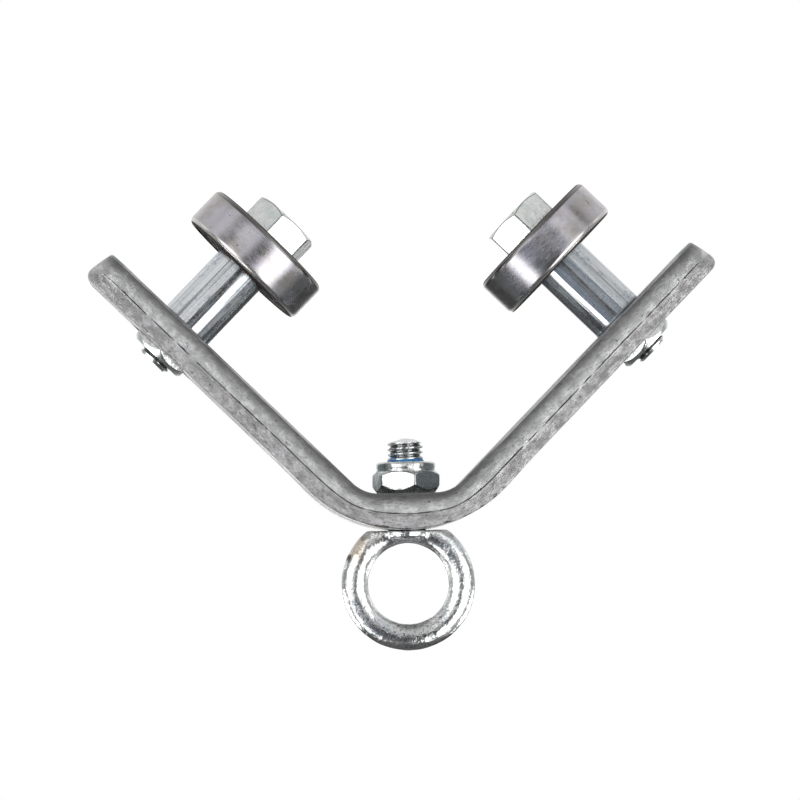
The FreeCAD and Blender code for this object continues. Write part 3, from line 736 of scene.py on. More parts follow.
def bend_curve(distance, flat, radius, level):
    """(x, z) at a distance along one face of the bar from the middle: flat, arc, then straight arm."""
    side = np.sign(distance)
    s = np.abs(distance)
    arc = radius * BEND_ANGLE
    angle = np.clip((s - flat) / radius, 0, BEND_ANGLE)
    beyond = np.clip(s - flat - arc, 0, None)
    x = np.minimum(s, flat) + radius * np.sin(angle) + beyond * math.cos(BEND_ANGLE)
    z = level + radius * (1 - np.cos(angle)) + beyond * math.sin(BEND_ANGLE)
    return side * x, z


INNER_CURVE = (INNER_FLAT, INNER_BEND_RADIUS, BAR_INNER_LEVEL)
OUTER_CURVE = (OUTER_FLAT, OUTER_BEND_RADIUS, BAR_OUTER_LEVEL)

# Distances along each face to the end of its arc, and along the arm from the knee to that of the inner face
INNER_TANGENT = INNER_FLAT + INNER_BEND_RADIUS * BEND_ANGLE
OUTER_TANGENT = OUTER_FLAT + OUTER_BEND_RADIUS * BEND_ANGLE
INNER_KNEE = (INNER_FLAT + INNER_BEND_RADIUS * math.sin(BEND_ANGLE) - KNEE) / math.cos(BEND_ANGLE)

BAR_HALF_LENGTH = INNER_TANGENT + ARM_FROM_KNEE - INNER_KNEE
ARM_START = bend_curve(INNER_TANGENT, *INNER_CURVE)


def outer_square():
    """Distance along the inner face that stands square across from the end of the outer arc."""
    x, z = bend_curve(OUTER_TANGENT, *OUTER_CURVE)
    along = (x - ARM_START[0]) * math.cos(BEND_ANGLE) + (z - ARM_START[1]) * math.sin(BEND_ANGLE)
    return INNER_TANGENT + along


OUTER_SQUARE = outer_square()


def bend(flat_points):
    """Bends points (distance along the inner face, width, depth from the inner face) into the V."""
    s, y, depth = flat_points.T
    size = np.abs(s)
    in_arc = size * OUTER_TANGENT / OUTER_SQUARE
    matched = np.where(size < OUTER_SQUARE, in_arc, OUTER_TANGENT + size - OUTER_SQUARE)
    xi, zi = bend_curve(s, *INNER_CURVE)
    xo, zo = bend_curve(np.sign(s) * matched, *OUTER_CURVE)
    t = depth / BAR_THICKNESS
    return np.stack([xi + (xo - xi) * t, y, zi + (zo - zi) * t], axis=1)


def bar_stations():
    """(distance, half width, normal angle) down one long edge: a straight with a corner at each end."""
    straight = BAR_HALF_LENGTH - BAR_CORNER
    count = round(2 * straight / BAR_STEP)
    rows = [(s, BAR_HALF_WIDTH, 0.0) for s in np.linspace(-straight, straight, count + 1)]
    steps = 22
    for k in range(1, steps + 1):
        a = math.pi / 2 * k / steps
        s = straight + BAR_CORNER * math.sin(a)
        w = BAR_HALF_WIDTH - BAR_CORNER * (1 - math.cos(a))
        rows.append((s, w, a))
        rows.insert(0, (-s, w, -a))
    return np.array(rows)


def edge_levels():
    """Depths of the rows down the bar's edge, closest together at the seam."""
    rolled = ROLLED_EDGE[1] * (1 - np.cos(np.linspace(0, math.pi / 2, 17)))
    seam = np.arange(SEAM_LEVEL - 0.85, SEAM_LEVEL + 0.9, 0.11)
    torn = np.arange(SEAM_LEVEL + 1.1, BAR_THICKNESS - END_OUTER_RADIUS, 0.3)
    angle = np.linspace(0, math.pi / 2, 15)
    corner = BAR_THICKNESS - END_OUTER_RADIUS * (1 - np.sin(angle))
    return np.concatenate([rolled, seam[seam > rolled[-1] + 0.05], torn, corner])


def rounding(distance, reach, inset):
    """How far a rounded edge stands in: all of the inset at its face, and nothing from the reach on."""
    return inset * (1 - np.sqrt(1 - np.clip(1 - distance / reach, 0, 1) ** 2))


def side_inset(depth):
    """How far the long edges stand in: rolled over at the inner face, a small radius at the outer."""
    wide, deep = ROLLED_EDGE
    return rounding(depth, deep, wide) + rounding(BAR_THICKNESS - depth, OUTER_EDGE, OUTER_EDGE)


def end_inset(depth):
    """How far the arm ends stand in: leaning and rounded at the inner face, rounder at the outer face."""
    lean = END_INNER_INSET * np.clip(1 - depth / END_LEAN_DEPTH, 0, 1) ** 1.3
    nose = rounding(depth, END_NOSE_DEPTH, END_NOSE)
    return lean + nose + rounding(BAR_THICKNESS - depth, END_OUTER_RADIUS, END_OUTER_RADIUS)


def flat_bar():
    """(points, faces) of the bar before it is bent: two wide grids joined by the edge rows all round."""
    stations = bar_stations()
    across = np.linspace(-1, 1, 41)
    rows, columns = len(stations), len(across)
    levels = edge_levels()
    turn = stations[:, 2]
    endness = np.sin(turn) ** 2

    def inset(depth):
        return side_inset(depth) * (1 - endness) + end_inset(depth) * endness

    def grid(depth):
        s = stations[:, 0] - inset(depth) * np.sin(turn)
        w = stations[:, 1] - inset(depth) * np.cos(turn)
        layers = np.broadcast_arrays(s[:, None], w[:, None] * across, depth)
        return np.stack(layers, axis=2).reshape(-1, 3)

    index = np.arange(rows * columns).reshape(rows, columns)
    loop = np.concatenate([index[:, 0], index[-1, 1:-1], index[::-1, -1], index[0, -2:0:-1]])
    points = [grid(levels[0]), grid(levels[-1])]
    points += [grid(level)[loop] for level in levels[1:-1]]
    faces = []
    second = rows * columns
    for i in range(rows - 1):
        for j in range(columns - 1):
            a, b, c, d = index[i, j], index[i, j + 1], index[i + 1, j + 1], index[i + 1, j]
            faces.append((a, d, c, b))
            faces.append((second + a, second + b, second + c, second + d))
    rims = [loop]
    for k in range(len(levels) - 2):
        rims.append(2 * second + k * len(loop) + np.arange(len(loop)))
    rims.append(second + loop)
    for upper, lower in zip(rims, rims[1:]):
        for j in range(len(loop)):
            k = (j + 1) % len(loop)
            faces.append((upper[j], lower[j], lower[k], upper[k]))
    return np.vstack(points), [tuple(int(v) for v in f) for f in faces]


def seam_shape(points):
    """(distance below the seam, share of groove left) at points of the flat bar."""
    s, y, depth = points.T
    line = np.stack([s, np.sign(y) * 9.0, np.zeros_like(s)], axis=1)
    wander = 0.20 * fbm(line, 0.045, 2, seed=1.0) + 0.05 * fbm(line, 0.5, 2, seed=9.0)
    broken = smooth_step(-0.8, -0.1, fbm(line, 0.35, 3, seed=2.0))
    return depth - (SEAM_LEVEL + wander), broken


def wear_bar(points):
    """Adds the sheared edge, small dents on the wide faces, and the crown of the outer face."""
    s, y, depth = points.T
    edge = smooth_step(BAR_HALF_WIDTH - ROLLED_EDGE[0], BAR_HALF_WIDTH - ROLLED_EDGE[0] / 2, np.abs(y))
    offset, broken = seam_shape(points)
    groove = SEAM_DEPTH * broken * np.exp(-((offset / SEAM_HALF_WIDTH) ** 2))
    lip = -SEAM_LIP * broken * np.exp(-(((offset - SEAM_LIP_OFFSET) / SEAM_LIP_HALF_WIDTH) ** 2))
    torn_points = np.stack([s * 0.5, np.sign(y) * 5.0, depth], axis=1)
    tears = TORN_ZONE_STEP + TORN_ZONE_ROUGHNESS * fbm(torn_points, 1.2, 3, seed=3.0)
    torn = smooth_step(0.0, 0.6, offset) * tears
    skin_points = np.stack([s * 0.35, np.sign(y) * 5.0, depth * 0.8], axis=1)
    skin = 0.06 * fbm(skin_points, 0.5, 3, seed=4.0)
    face = 0.05 * (1 - edge) * fbm(points * (0.4, 0.6, 0.2), 0.6, 3, seed=5.0)
    result = points.copy()
    result[:, 1] -= np.sign(y) * edge * (groove + lip + torn + skin)
    result[:, 2] += np.where(depth < BAR_THICKNESS / 2, 1, -1) * np.abs(face)
    arm = smooth_step(22.0, 40.0, np.abs(s)) * smooth_step(BAR_THICKNESS / 2, BAR_THICKNESS, depth)
    result[:, 2] -= OUTER_CROWN * arm * (y / BAR_HALF_WIDTH) ** 2
    return result


def make_bar(material):
    """The bent bar: drilled while it is flat, then bent."""
    points, faces = flat_bar()
    bar = to_object("bent_bar", to_mesh("bent_bar", wear_bar(points), faces))
    drill(bar, EYE_HOLE / 2, (0, 0), -1, BAR_THICKNESS + 1)
    drill(bar, NUT_SEAT_RADIUS, (0, 0), -1, NUT_SEAT_DEPTH)
    for side in (-1, 1):
        centre = (side * AXLE_STATION, 0)
        drill(bar, AXLE_HOLE / 2, centre, -1, BAR_THICKNESS + 1)
        drill(bar, NUT_RECESS / 2, centre, BAR_THICKNESS - NUT_RECESS_DEPTH, BAR_THICKNESS + 1)
    flat = mesh_points(bar.data)
    # Painted shade in the seam groove along the cut edges, stored on the mesh.
    offset, broken = seam_shape(flat)
    outside = smooth_step(BAR_HALF_WIDTH - 1.0, BAR_HALF_WIDTH - 0.6, np.abs(flat[:, 1]))
    add_painted_shade(bar, outside * broken * np.exp(-((offset / SEAM_HALF_WIDTH) ** 2)))
    set_points(bar.data, bend(flat))
    finish_piece(bar, material, "frame", "bracket", flat)


# ---------------- axles


def axle_frame(side):
    """Matrix in millimetres whose origin is on the arm and whose Z runs up the axle."""
    joint = next(j for j in frame["joints"] if j["name"] == side + "_wheel_spin")
    z = Vector(joint["axis"]).normalized()
    centre = Vector(joint["pos_m"]) / MM
    y = Vector((0, 1, 0))
    x = y.cross(z)
    base = centre - z * (WHEEL_NEAR + WHEEL_WIDTH / 2)
    return Matrix.Translation(base) @ Matrix((x, y, z)).transposed().to_4x4()


AXLES = {side: axle_frame(side) for side in SIDES}


def axle_station():
    """Distance along the bar's inner face to an axle."""
    base = AXLES["right"].translation
    return INNER_TANGENT + math.hypot(base.x - ARM_START[0], base.z - ARM_START[1])


AXLE_STATION = axle_station()


def make_sleeve(side, material):
    """Drawn tube, slightly wavy along its length."""
    corners = [
        (SLEEVE_RADIUS, 0.0, 0.4),
        (SLEEVE_RADIUS, SLEEVE_LENGTH, 0.4),
        (SLEEVE_BORE, SLEEVE_LENGTH, 0.4),
        (SLEEVE_BORE, 0.0, 0.4),
    ]
    points, faces = lathe(refine(round_corners(corners), 0.8), 160)
    wave = fbm(points * (1.0, 1.0, 0.25), 0.16, 2, seed=6.0 + SIDES.index(side))
    push_out(points, 0.045 * wave)
    name = side + "_zinc_sleeve"
    build_piece(name, (points, faces), material, "frame", side + "_sleeve", AXLES[side])


def make_axle_bolt(side, material):
    """Hexagon head, plain shoulder inside the sleeve, and a threaded end through the arm."""
    steps = 360
    angle = step_angles(steps)
    seat = SLEEVE_LENGTH
    top = seat + HEAD_HEIGHT
    turn = HEAD_TURN[side]
    rows = []
    for z in np.arange(AXLE_END, -0.2, 0.12):
        cone = THREAD_RADIUS - AXLE_END_CHAMFER + (z - AXLE_END)
        rows.append((np.minimum(thread_radius(angle, z), cone), z))
    rows += [
        (THREAD_RADIUS - THREAD_DEPTH, -0.05),
        (THREAD_RADIUS - THREAD_DEPTH, 0.1),
        (SHOULDER_RADIUS - 0.3, 0.1),
        (SHOULDER_RADIUS, 0.4),
        (SHOULDER_RADIUS, seat - 0.001),
    ]
    hexagon = hex_radius(angle, HEAD_FLATS, turn)
    rows.append((np.minimum(hexagon, HEAD_FLATS / 2) * CHAMFER_SHARE, seat))
    rows.append((hexagon - 0.12, seat))
    levels = [*np.linspace(seat + 0.15, top - 1.3, 9), *np.linspace(top - 1.22, top, 16)]
    rows += zip(hex_rows(levels, HEAD_FLATS, turn, steps, (top, CHAMFER_SHARE, 1.73)), levels)
    for share in (0.99, 0.9, 0.6, 0.3):
        rows.append((HEAD_FLATS / 2 * CHAMFER_SHARE * share, top))
    points, faces = polar_grid(*zip(*rows), steps, closed=False)
    head = smooth_step(seat + 0.05, seat + 0.5, points[:, 2])
    dent = fbm(points, 0.35, 3, seed=8.0 + SIDES.index(side))
    push_out(points, 0.05 * head * dent)
    points[:, 2] += 0.04 * smooth_step(top - 0.3, top, points[:, 2]) * dent
    # Painted shade in the thread roots of the bolt's end.
    root = smooth_step(THREAD_RADIUS - 0.25, THREAD_RADIUS - 0.6, axis_distance(points))
    root *= smooth_step(AXLE_END + 0.2, AXLE_END + 0.5, points[:, 2])
    # Painted shade along the head's corners and the edge of its top chamfer.
    edge_line = hex_edges(points, HEAD_FLATS, turn, CHAMFER_SHARE, top)
    dirt = np.where(points[:, 2] > seat + 0.3, edge_line, root)
    shape = (points, faces)
    name = side + "_hex_bolt"
    build_piece(name, shape, material, "frame", side + "_axle_bolt", AXLES[side], dirt)


def make_axle_nut(side, material):
    """Thin hexagon nut chamfered at both ends, with a countersunk threaded bore."""
    steps = 240
    angle = step_angles(steps)
    high = AXLE_NUT_TOP
    low = high - AXLE_NUT_HEIGHT
    flats = AXLE_NUT_FLATS
    levels = [
        *np.linspace(low, low + 1.9, 18),
        *np.linspace(low + 2.2, high - 1.6, 4),
        *np.linspace(high - 1.3, high, 12),
    ]
    hexagon = hex_rows(levels, flats, AXLE_NUT_TURN, steps, (high, 0.94, 1.15), (low, 0.89, 1.15))
    rows = list(zip(hexagon, levels))
    countersink = [(THREAD_RADIUS + 1.6, 0.0), (THREAD_RADIUS + 0.7, 0.0), (THREAD_RADIUS + 0.1, 0.6)]
    rows += [(radius, high - drop) for radius, drop in countersink]
    for z in np.arange(high - 0.7, low + 0.6, -0.15):
        rows.append((thread_radius(angle, z) + 0.12, z))
    rows += [(radius, low + rise) for radius, rise in reversed(countersink)]
    points, faces = polar_grid(*zip(*rows), steps, closed=True)
    outside = smooth_step(THREAD_RADIUS + 1.7, THREAD_RADIUS + 2.6, axis_distance(points))
    push_out(points, 0.05 * outside * fbm(points, 0.4, 3, seed=12.0 + SIDES.index(side)))
    name = side + "_thin_nut"
    build_piece(name, (points, faces), material, "frame", side + "_axle_nut", AXLES[side])


# ---------------- ball bearings


def raceway(land, sign, middle):
    """Points of the ball groove cut into a land, in order of rising height."""
    half = math.sqrt(RACEWAY_RADIUS**2 - (land - BALL_PITCH_RADIUS) ** 2)
    limit = math.asin(half / RACEWAY_RADIUS)
    arc = []
    for k in range(13):
        a = limit * (k / 6 - 1)
        radius = BALL_PITCH_RADIUS + sign * RACEWAY_RADIUS * math.cos(a)
        arc.append((radius, middle + RACEWAY_RADIUS * math.sin(a)))
    return arc


def make_outer_ring(side, material):
    """The tread outside; the ball groove and the seats of the shields inside."""
    low = WHEEL_NEAR
    high = low + WHEEL_WIDTH
    groove = raceway(OUTER_LAND, 1, (low + high) / 2)
    corners = [
        (WHEEL_RADIUS, low, WHEEL_CORNER),
        (WHEEL_RADIUS, high, WHEEL_CORNER),
        (SHIELD_SEAT, high, 0.2),
        (SHIELD_SEAT, high - SHIELD_SEAT_DEPTH, 0),
        (OUTER_LAND, high - SHIELD_SEAT_DEPTH, 0.15),
    ]
    corners += [(r, z, 0) for r, z in reversed(groove)]
    corners += [
        (OUTER_LAND, low + SHIELD_SEAT_DEPTH, 0.15),
        (SHIELD_SEAT, low + SHIELD_SEAT_DEPTH, 0),
        (SHIELD_SEAT, low, 0.2),
    ]
    shape = lathe(refine(round_corners(corners, 11.0), 1.0), 240)
    name = side + "_outer_race"
    node = side + "_bearing_outer_ring"
    build_piece(name, shape, material, side + "_wheel", node, AXLES[side])


def make_inner_ring(side, material):
    """Clamped on the sleeve, with the ball groove outside."""
    low = WHEEL_NEAR
    high = low + WHEEL_WIDTH
    groove = raceway(INNER_LAND, -1, (low + high) / 2)
    corners = [(SLEEVE_RADIUS, high, 0.6), (SLEEVE_RADIUS, low, 0.6), (INNER_LAND, low, 0.3)]
    corners += [(r, z, 0) for r, z in groove]
    corners += [(INNER_LAND, high, 0.3)]
    shape = lathe(round_corners(corners, 11.0), 192)
    name = side + "_inner_race"
    node = side + "_bearing_inner_ring"
    build_piece(name, shape, material, "frame", node, AXLES[side])


def make_shield(side, face, material):
    """Pressed disc with a stepped rim and a rolled inner lip, sitting just inside the bearing's face."""
    inward = 1 if face == "inboard" else -1
    outside = WHEEL_NEAR if face == "inboard" else WHEEL_NEAR + WHEEL_WIDTH
    rim = SHIELD_INSET
    web = SHIELD_INSET + 0.35
    lip = SHIELD_INSET + 0.05
    thick = SHIELD_THICKNESS
    corners = [
        (SHIELD_SEAT, rim, 0.12),
        (SHIELD_SEAT - 0.9, rim, 0.15),
        (SHIELD_SEAT - 1.5, web, 0.2),
        (SHIELD_BORE + 1.5, web, 0.3),
        (SHIELD_BORE + 1.0, lip, 0.2),
        (SHIELD_BORE, lip, 0.12),
        (SHIELD_BORE, lip + thick, 0.12),
        (SHIELD_BORE + 0.9, lip + thick, 0.2),
        (SHIELD_BORE + 1.4, web + thick, 0.2),
        (SHIELD_SEAT - 1.6, web + thick, 0.2),
        (SHIELD_SEAT - 0.9, rim + thick, 0.2),
        (SHIELD_SEAT, rim + thick, 0.12),
    ]
    corners = [(r, outside + inward * z, f) for r, z, f in corners]
    if inward < 0:
        corners.reverse()
    shape = lathe(round_corners(corners, 22.0), 192)
    name = side + "_shield_" + face
    node = side + "_bearing_shield_" + face
    build_piece(name, shape, material, side + "_wheel", node, AXLES[side])


# ---------------- eye bolt


def thread_shank():
    """(points, faces) of the eye bolt's thread, ending in a rough broken tip."""
    steps = 144
    angle = step_angles(steps)
    rows = []
    for z in np.arange(EYE_THREAD_START, EYE_THREAD_TOP + 0.01, 0.1):
        start = smooth_step(EYE_THREAD_START + 7, EYE_THREAD_START + 8, z)
        rows.append((THREAD_RADIUS - start * (THREAD_RADIUS - thread_radius(angle, z)), z))
    for k in range(1, 12):
        share = k / 12
        dome = EYE_THREAD_TOP + (EYE_TIP - EYE_THREAD_TOP) * share**0.75
        lean = 0.45 * (1 - share) * np.cos(angle - math.radians(20))
        rows.append(((THREAD_RADIUS - 0.35) * (1 - share * 0.93), dome + lean * share))
    points, faces = polar_grid(*zip(*rows), steps, closed=False)
    rough = smooth_step(EYE_THREAD_TOP - 0.9, EYE_THREAD_TOP + 0.3, points[:, 2])
    points[:, 2] += 0.22 * rough * fbm(points, 0.8, 3, seed=20.0)
    push_out(points, 0.10 * smooth_step(35.0, 36.0, points[:, 2]) * fbm(points, 0.7, 3, seed=21.0))
    points[:, 2] = np.minimum(points[:, 2], EYE_TIP + 0.2)
    return points, faces


def make_eye(material):
    """The forged eye, remeshed from its CAD solid so that the skin can be roughened, with a cut thread."""
    eye = to_object("forged_eye", frame["nodes"]["eye_bolt"].data.copy())
    set_points(eye.data, mesh_points(eye.data) / MM)
    above = box_points((-9, -9, EYE_THREAD_START + 0.6), (9, 9, 60))
    combine(eye, to_object("cutter", to_mesh("cutter", *above)), "DIFFERENCE")
    remesh = eye.modifiers.new("skin", "REMESH")
    remesh.mode = "VOXEL"
    remesh.voxel_size = EYE_VOXEL
    relax = eye.modifiers.new("relax", "SMOOTH")
    relax.factor = 0.5
    relax.iterations = 5
    mesh = apply_modifiers(eye)
    points = mesh_points(mesh)
    across = np.abs(points[:, 0])
    level = points[:, 2]
    beside = smooth_step(4.2, 5.2, across) * smooth_step(12.0, 10.8, across)
    neck = beside * smooth_step(8.0, 9.5, level) * smooth_step(14.6, 13.6, level)
    points = relax_points(mesh, points, neck, 30)
    set_points(mesh, points)
    normals = np.empty(len(points) * 3, np.float32)
    mesh.vertex_normals.foreach_get("vector", normals)
    normals = normals.reshape(-1, 3)
    ring = smooth_step(EYE_THREAD_START + 0.3, EYE_THREAD_START - 0.6, points[:, 2])
    skin = 0.07 * fbm(points, 0.28, 2, seed=22.0) + 0.02 * fbm(points, 1.0, 2, seed=23.0)
    points += normals * (ring * (skin - 0.05))[:, None]
    set_points(mesh, points)
    shank = to_object("shank", to_mesh("shank", *thread_shank()))
    combine(eye, shank, "UNION")
    finish_piece(eye, material, "swivel_eye", "eye_bolt", mesh_points(eye.data))


def make_lock_nut(material):
    """Hexagon with a rolled collar that holds the nylon ring."""
    steps = 300
    low = LOCK_NUT_SEAT
    top = low + LOCK_NUT_HEX_HEIGHT
    rim = low + LOCK_NUT_HEIGHT
    collar = LOCK_NUT_COLLAR_RADIUS
    share = collar * 2 / LOCK_NUT_FLATS
    levels = [
        *np.linspace(low, low + 4.2, 36),
        *np.linspace(low + 4.5, top - 1.6, 4),
        *np.linspace(top - 1.3, top, 13),
    ]
    rows = hex_rows(levels, LOCK_NUT_FLATS, LOCK_NUT_TURN, steps, (top, share, 1.2), (low, 0.83, 0.85))
    lip = rim - 0.1
    shelf = lip - LOCK_NUT_LIP
    bore = THREAD_RADIUS + 0.15
    corners = [
        (collar, top + 0.1, 0.0),
        (collar - 0.12, top + 0.5, 0.4),
        (collar, top + 1.2, 0.5),
        (collar - 0.05, rim, 0.85),
        (LOCK_NUT_LIP_RADIUS, lip, 0.25),
        (LOCK_NUT_LIP_RADIUS, shelf, 0.2),
        (INSERT_RADIUS, shelf - 0.1, 0.0),
        (INSERT_RADIUS, rim - INSERT_HEIGHT, 0.0),
        (bore, rim - INSERT_HEIGHT, 0.0),
        (bore, low + 0.5, 0.0),
        (THREAD_RADIUS + 0.9, low, 0.0),
        (collar - 3.0, low, 0.0),
    ]
    outline = round_corners(corners, 12.0)[:-1]
    radii = [*rows, *outline[:, 0]]
    points, faces = polar_grid(radii, [*levels, *outline[:, 1]], steps, closed=True)
    outside = smooth_step(7.0, 7.4, axis_distance(points))
    dent = 0.07 * fbm(points, 0.3, 2, seed=24.0) + 0.03 * fbm(points, 0.9, 2, seed=25.0)
    push_out(points, outside * dent)
    # Painted shade along the nut's corners and the edge of its top chamfer, made ragged by noise.
    ragged = points.copy()
    ragged[:, 2] += 0.18 * fbm(points, 0.8, 3, seed=27.0)
    dirt = hex_edges(ragged, LOCK_NUT_FLATS, LOCK_NUT_TURN, share, top)
    shape = (points, faces)
    build_piece("locking_nut", shape, material, "swivel_eye", "swivel_nut", dirt=dirt)


def make_insert(material):
    """Nylon ring under the nut's lip, bulging up round the thread."""
    rim = LOCK_NUT_SEAT + LOCK_NUT_HEIGHT
    low = rim - INSERT_HEIGHT + 0.05
    shelf = rim - 0.4 - LOCK_NUT_LIP
    top = rim + INSERT_RISE
    outer = INSERT_RADIUS - 0.05
    neck = LOCK_NUT_LIP_RADIUS - 0.05
    bore = THREAD_RADIUS - THREAD_DEPTH - 0.1
    corners = [
        (outer, low, 0.2),
        (outer, shelf, 0.3),
        (neck, shelf, 0.2),
        (neck, rim - 0.1, 0.3),
        (INSERT_TIP_RADIUS, top, 0.3),
        (bore, top, 0.1),
        (bore, low, 0.1),
    ]
    points, faces = lathe(refine(round_corners(corners, 15.0), 0.5), 144)
    lift = 0.12 * smooth_step(rim - 0.3, rim + 0.4, points[:, 2])
    points[:, 2] += lift * fbm(points, 0.45, 2, seed=26.0)
    build_piece("nylon_ring", (points, faces), material, "swivel_eye", "swivel_nut_insert")


# ---------------- studio and camera


class Sky(Nodes):
    """World light as a function of direction: soft patches on a plain surround."""

    def __init__(self, surround):
        world = bpy.data.worlds.new("studio")
        bpy.context.scene.world = world
        super().__init__(world)
        self.direction = self.add("TexCoord").outputs["Generated"]
        self.total = self.add("RGB").outputs[0]
        self.total.default_value = (*surround, 1)

    def patch(self, towards, inner, outer):
        """1 inside the inner angle about a direction, falling to 0 at the outer angle."""
        inputs = {0: self.direction, 1: Vector(towards).normalized()}
        closeness = self.add("VectorMath", inputs, operation="DOT_PRODUCT").outputs["Value"]
        return self.span(closeness, math.cos(math.radians(outer)), math.cos(math.radians(inner)))

    def lay(self, towards, inner, outer, colour):
        """Lays a patch of colour over what is there."""
        self.total = self.mix(self.patch(towards, inner, outer), self.total, colour)

    def finish(self, backdrop):
        """The camera sees the plain backdrop; everything else sees the patches."""
        to_camera = self.add("LightPath").outputs["Is Camera Ray"]
        total = self.mix(to_camera, self.total, backdrop)
        self.plug(total, self.nodes["Background"].inputs["Color"])


def grey(level):
    return (level, level, level)


def light_studio():
    """A dim room with dark corners low down, bright lamps at the sides and small panels at the front."""
    sky = Sky(grey(0.34))
    # Ceiling, upper front and back corners, and the wall behind
    sky.lay((0, 0.1, 1), 16, 40, grey(0.42))
    for side in (-1, 1):
        sky.lay((side * 0.35, -0.80, 0.48), 16, 36, grey(0.62))
        sky.lay((side * 0.60, 0.52, 0.60), 24, 46, grey(0.80))
    sky.lay((0, 1, 0.3), 22, 50, grey(0.95))
    # Dark low corners and ground, and a bright spot straight behind
    for side in (-1, 1):
        sky.lay((side * 0.7, 0.25, -0.7), 20, 38, grey(0.05))
        sky.lay((side * 0.54, 0.64, -0.54), 22, 30, grey(0.10))
    sky.lay((0, -0.1, -1), 20, 52, grey(0.12))
    sky.lay((0, 1, -0.04), 6, 11, grey(1.8))
    # Lamps at both sides
    for side in (-1, 1):
        sky.lay((side * 0.90, 0.15, -0.41), 13, 20, grey(5.0))
        sky.lay((side * 0.91, 0.18, 0.37), 4, 9, grey(1.8))
        sky.lay((side * 0.66, -0.74, 0.05), 18, 30, grey(2.2))
        sky.lay((side * 0.66, -0.35, 0.66), 7, 20, grey(0.9))
    # Small panels that differ from side to side; two of them are bluish
    sky.lay((-0.54, -0.64, 0.54), 6, 14, grey(0.32))
    sky.lay((0.69, -0.23, 0.69), 4, 9, grey(0.36))
    sky.lay((0.43, -0.80, 0.43), 3, 7, grey(1.0))
    sky.lay((-0.15, -0.98, 0.15), 3, 7, grey(1.1))
    sky.lay((0.67, -0.31, -0.67), 7, 17, grey(0.42))
    sky.lay((0.44, -0.78, -0.44), 12, 24, grey(3.0))
    sky.lay((-0.36, -0.86, -0.36), 12, 20, (0.22, 0.25, 0.30))
    sky.lay((0.25, -0.93, 0.25), 7, 12, (0.24, 0.27, 0.31))
    sky.lay((-0.59, -0.55, -0.59), 8, 14, grey(3.0))
    # The dark places below the camera and around it
    sky.lay((0, -0.9, -0.44), 10, 21, grey(0.10))
    sky.lay((0.02, -1, -0.1), 7, 13, grey(0.03))
    sky.finish(grey(1.0))


def make_floor():
    """White sweep below and behind the trolley: the camera sees it from above, and no other ray does."""
    low = cad_box[0].z / MM - FLOOR_DROP
    outline = [(-FLOOR_REACH, low), (FLOOR_BEND_START, low)]
    steps = 24
    for k in range(1, steps + 1):
        a = math.pi / 2 * k / steps
        rise = FLOOR_BEND_RADIUS * (1 - math.cos(a))
        outline.append((FLOOR_BEND_START + FLOOR_BEND_RADIUS * math.sin(a), low + rise))
    outline.append((FLOOR_BEND_START + FLOOR_BEND_RADIUS, low + FLOOR_HEIGHT))
    points = [(x, y, z) for y, z in outline for x in (-FLOOR_REACH, FLOOR_REACH)]
    faces = [(2 * k, 2 * k + 1, 2 * k + 3, 2 * k + 2) for k in range(len(outline) - 1)]
    floor = to_object("floor", to_mesh("floor", np.array(points) * MM, faces))
    floor.data.polygons.foreach_set("use_smooth", [True] * len(faces))
    material = bpy.data.materials.new("floor")
    tree = Nodes(material)
    tree.nodes.remove(tree.nodes["Principled BSDF"])
    white = tree.add("Emission", {"Color": (1, 1, 1)}).outputs[0]
    clear = tree.add("BsdfTransparent").outputs[0]
    behind = tree.add("NewGeometry").outputs["Backfacing"]
    surface = tree.add("MixShader", {0: behind, 1: white, 2: clear}).outputs[0]
    tree.plug(surface, tree.nodes["Material Output"].inputs["Surface"])
    floor.data.materials.append(material)
    floor.visible_glossy = False
    floor.visible_diffuse = False
    floor.visible_shadow = False


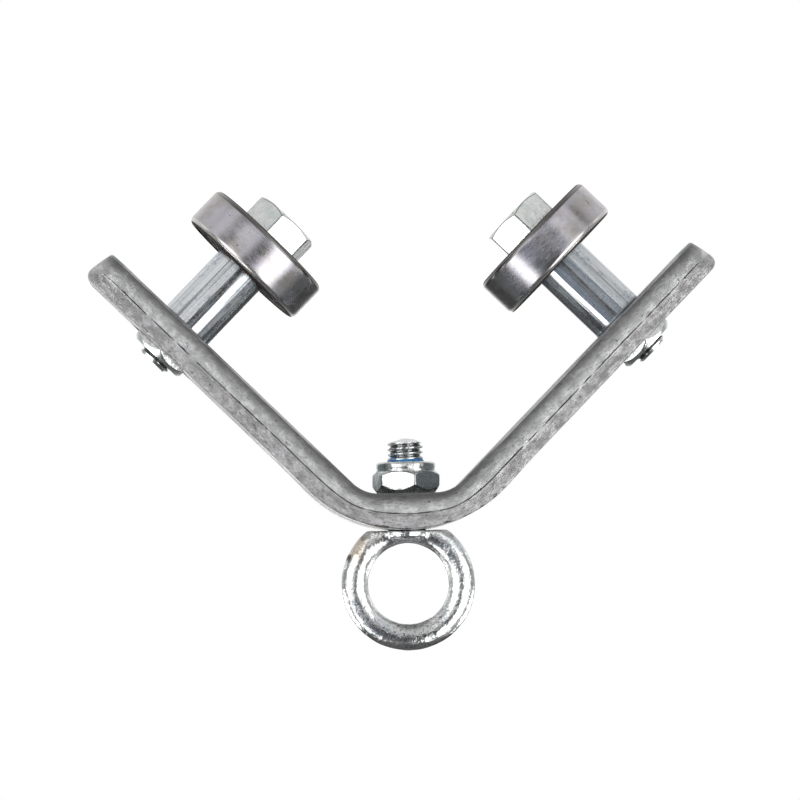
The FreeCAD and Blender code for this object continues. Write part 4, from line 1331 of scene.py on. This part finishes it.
def make_camera():
    """The camera of the main view, which looks slightly up at the trolley and is rolled a little."""
    azimuth = math.radians(CAMERA_AZIMUTH)
    elevation = math.radians(CAMERA_ELEVATION)
    roll = math.radians(CAMERA_ROLL)
    ahead = Vector((math.sin(azimuth), math.cos(azimuth), 0))
    forward = ahead * math.cos(elevation) - Vector((0, 0, math.sin(elevation)))
    level = Vector((math.cos(azimuth), -math.sin(azimuth), 0))
    upright = level.cross(forward)
    right = level * math.cos(roll) + upright * math.sin(roll)
    up = upright * math.cos(roll) - level * math.sin(roll)
    place = (CAMERA_AIM - forward * CAMERA_DISTANCE) * MM
    data = bpy.data.cameras.new("camera")
    data.sensor_width = SENSOR
    data.lens = SENSOR * CAMERA_DISTANCE / VIEW_WIDTH
    data.clip_start = 0.01
    data.clip_end = 20
    camera = to_object("camera", data)
    axes = Matrix((right, up, -forward)).transposed()
    camera.matrix_world = Matrix.Translation(place) @ axes.to_4x4()
    bpy.context.scene.camera = camera


# ---------------- assembly

zinc = zinc_plate()
hexagons = zinc_hex()
bearing = bearing_steel()
shields = shield_steel()

make_bar(bar_steel())
for side in SIDES:
    make_sleeve(side, zinc)
    make_axle_bolt(side, hexagons)
    make_axle_nut(side, hexagons)
    make_outer_ring(side, bearing)
    make_inner_ring(side, bearing)
    for face in ("inboard", "outboard"):
        make_shield(side, face, shields)
make_eye(forged_zinc())
make_lock_nut(hexagons)
make_insert(nylon())

ball_steel = inner_steel("ball_steel", (0.72, 0.72, 0.74), 0.06)
cage_steel = inner_steel("cage_steel", (0.5, 0.5, 0.51), 0.25)
kept_parts = {
    "balls": ball_steel,
    "cage_inboard": cage_steel,
    "cage_outboard": cage_steel,
    "cage_rivets": cage_steel,
}
for side in SIDES:
    for part, material in kept_parts.items():
        node = frame["nodes"][side + "_bearing_" + part]
        if not node.material_slots:
            node.data.materials.append(material)
        for slot in node.material_slots:
            slot.material = material

light_studio()
make_floor()
make_camera()
bpy.context.scene.view_settings.view_transform = "Standard"
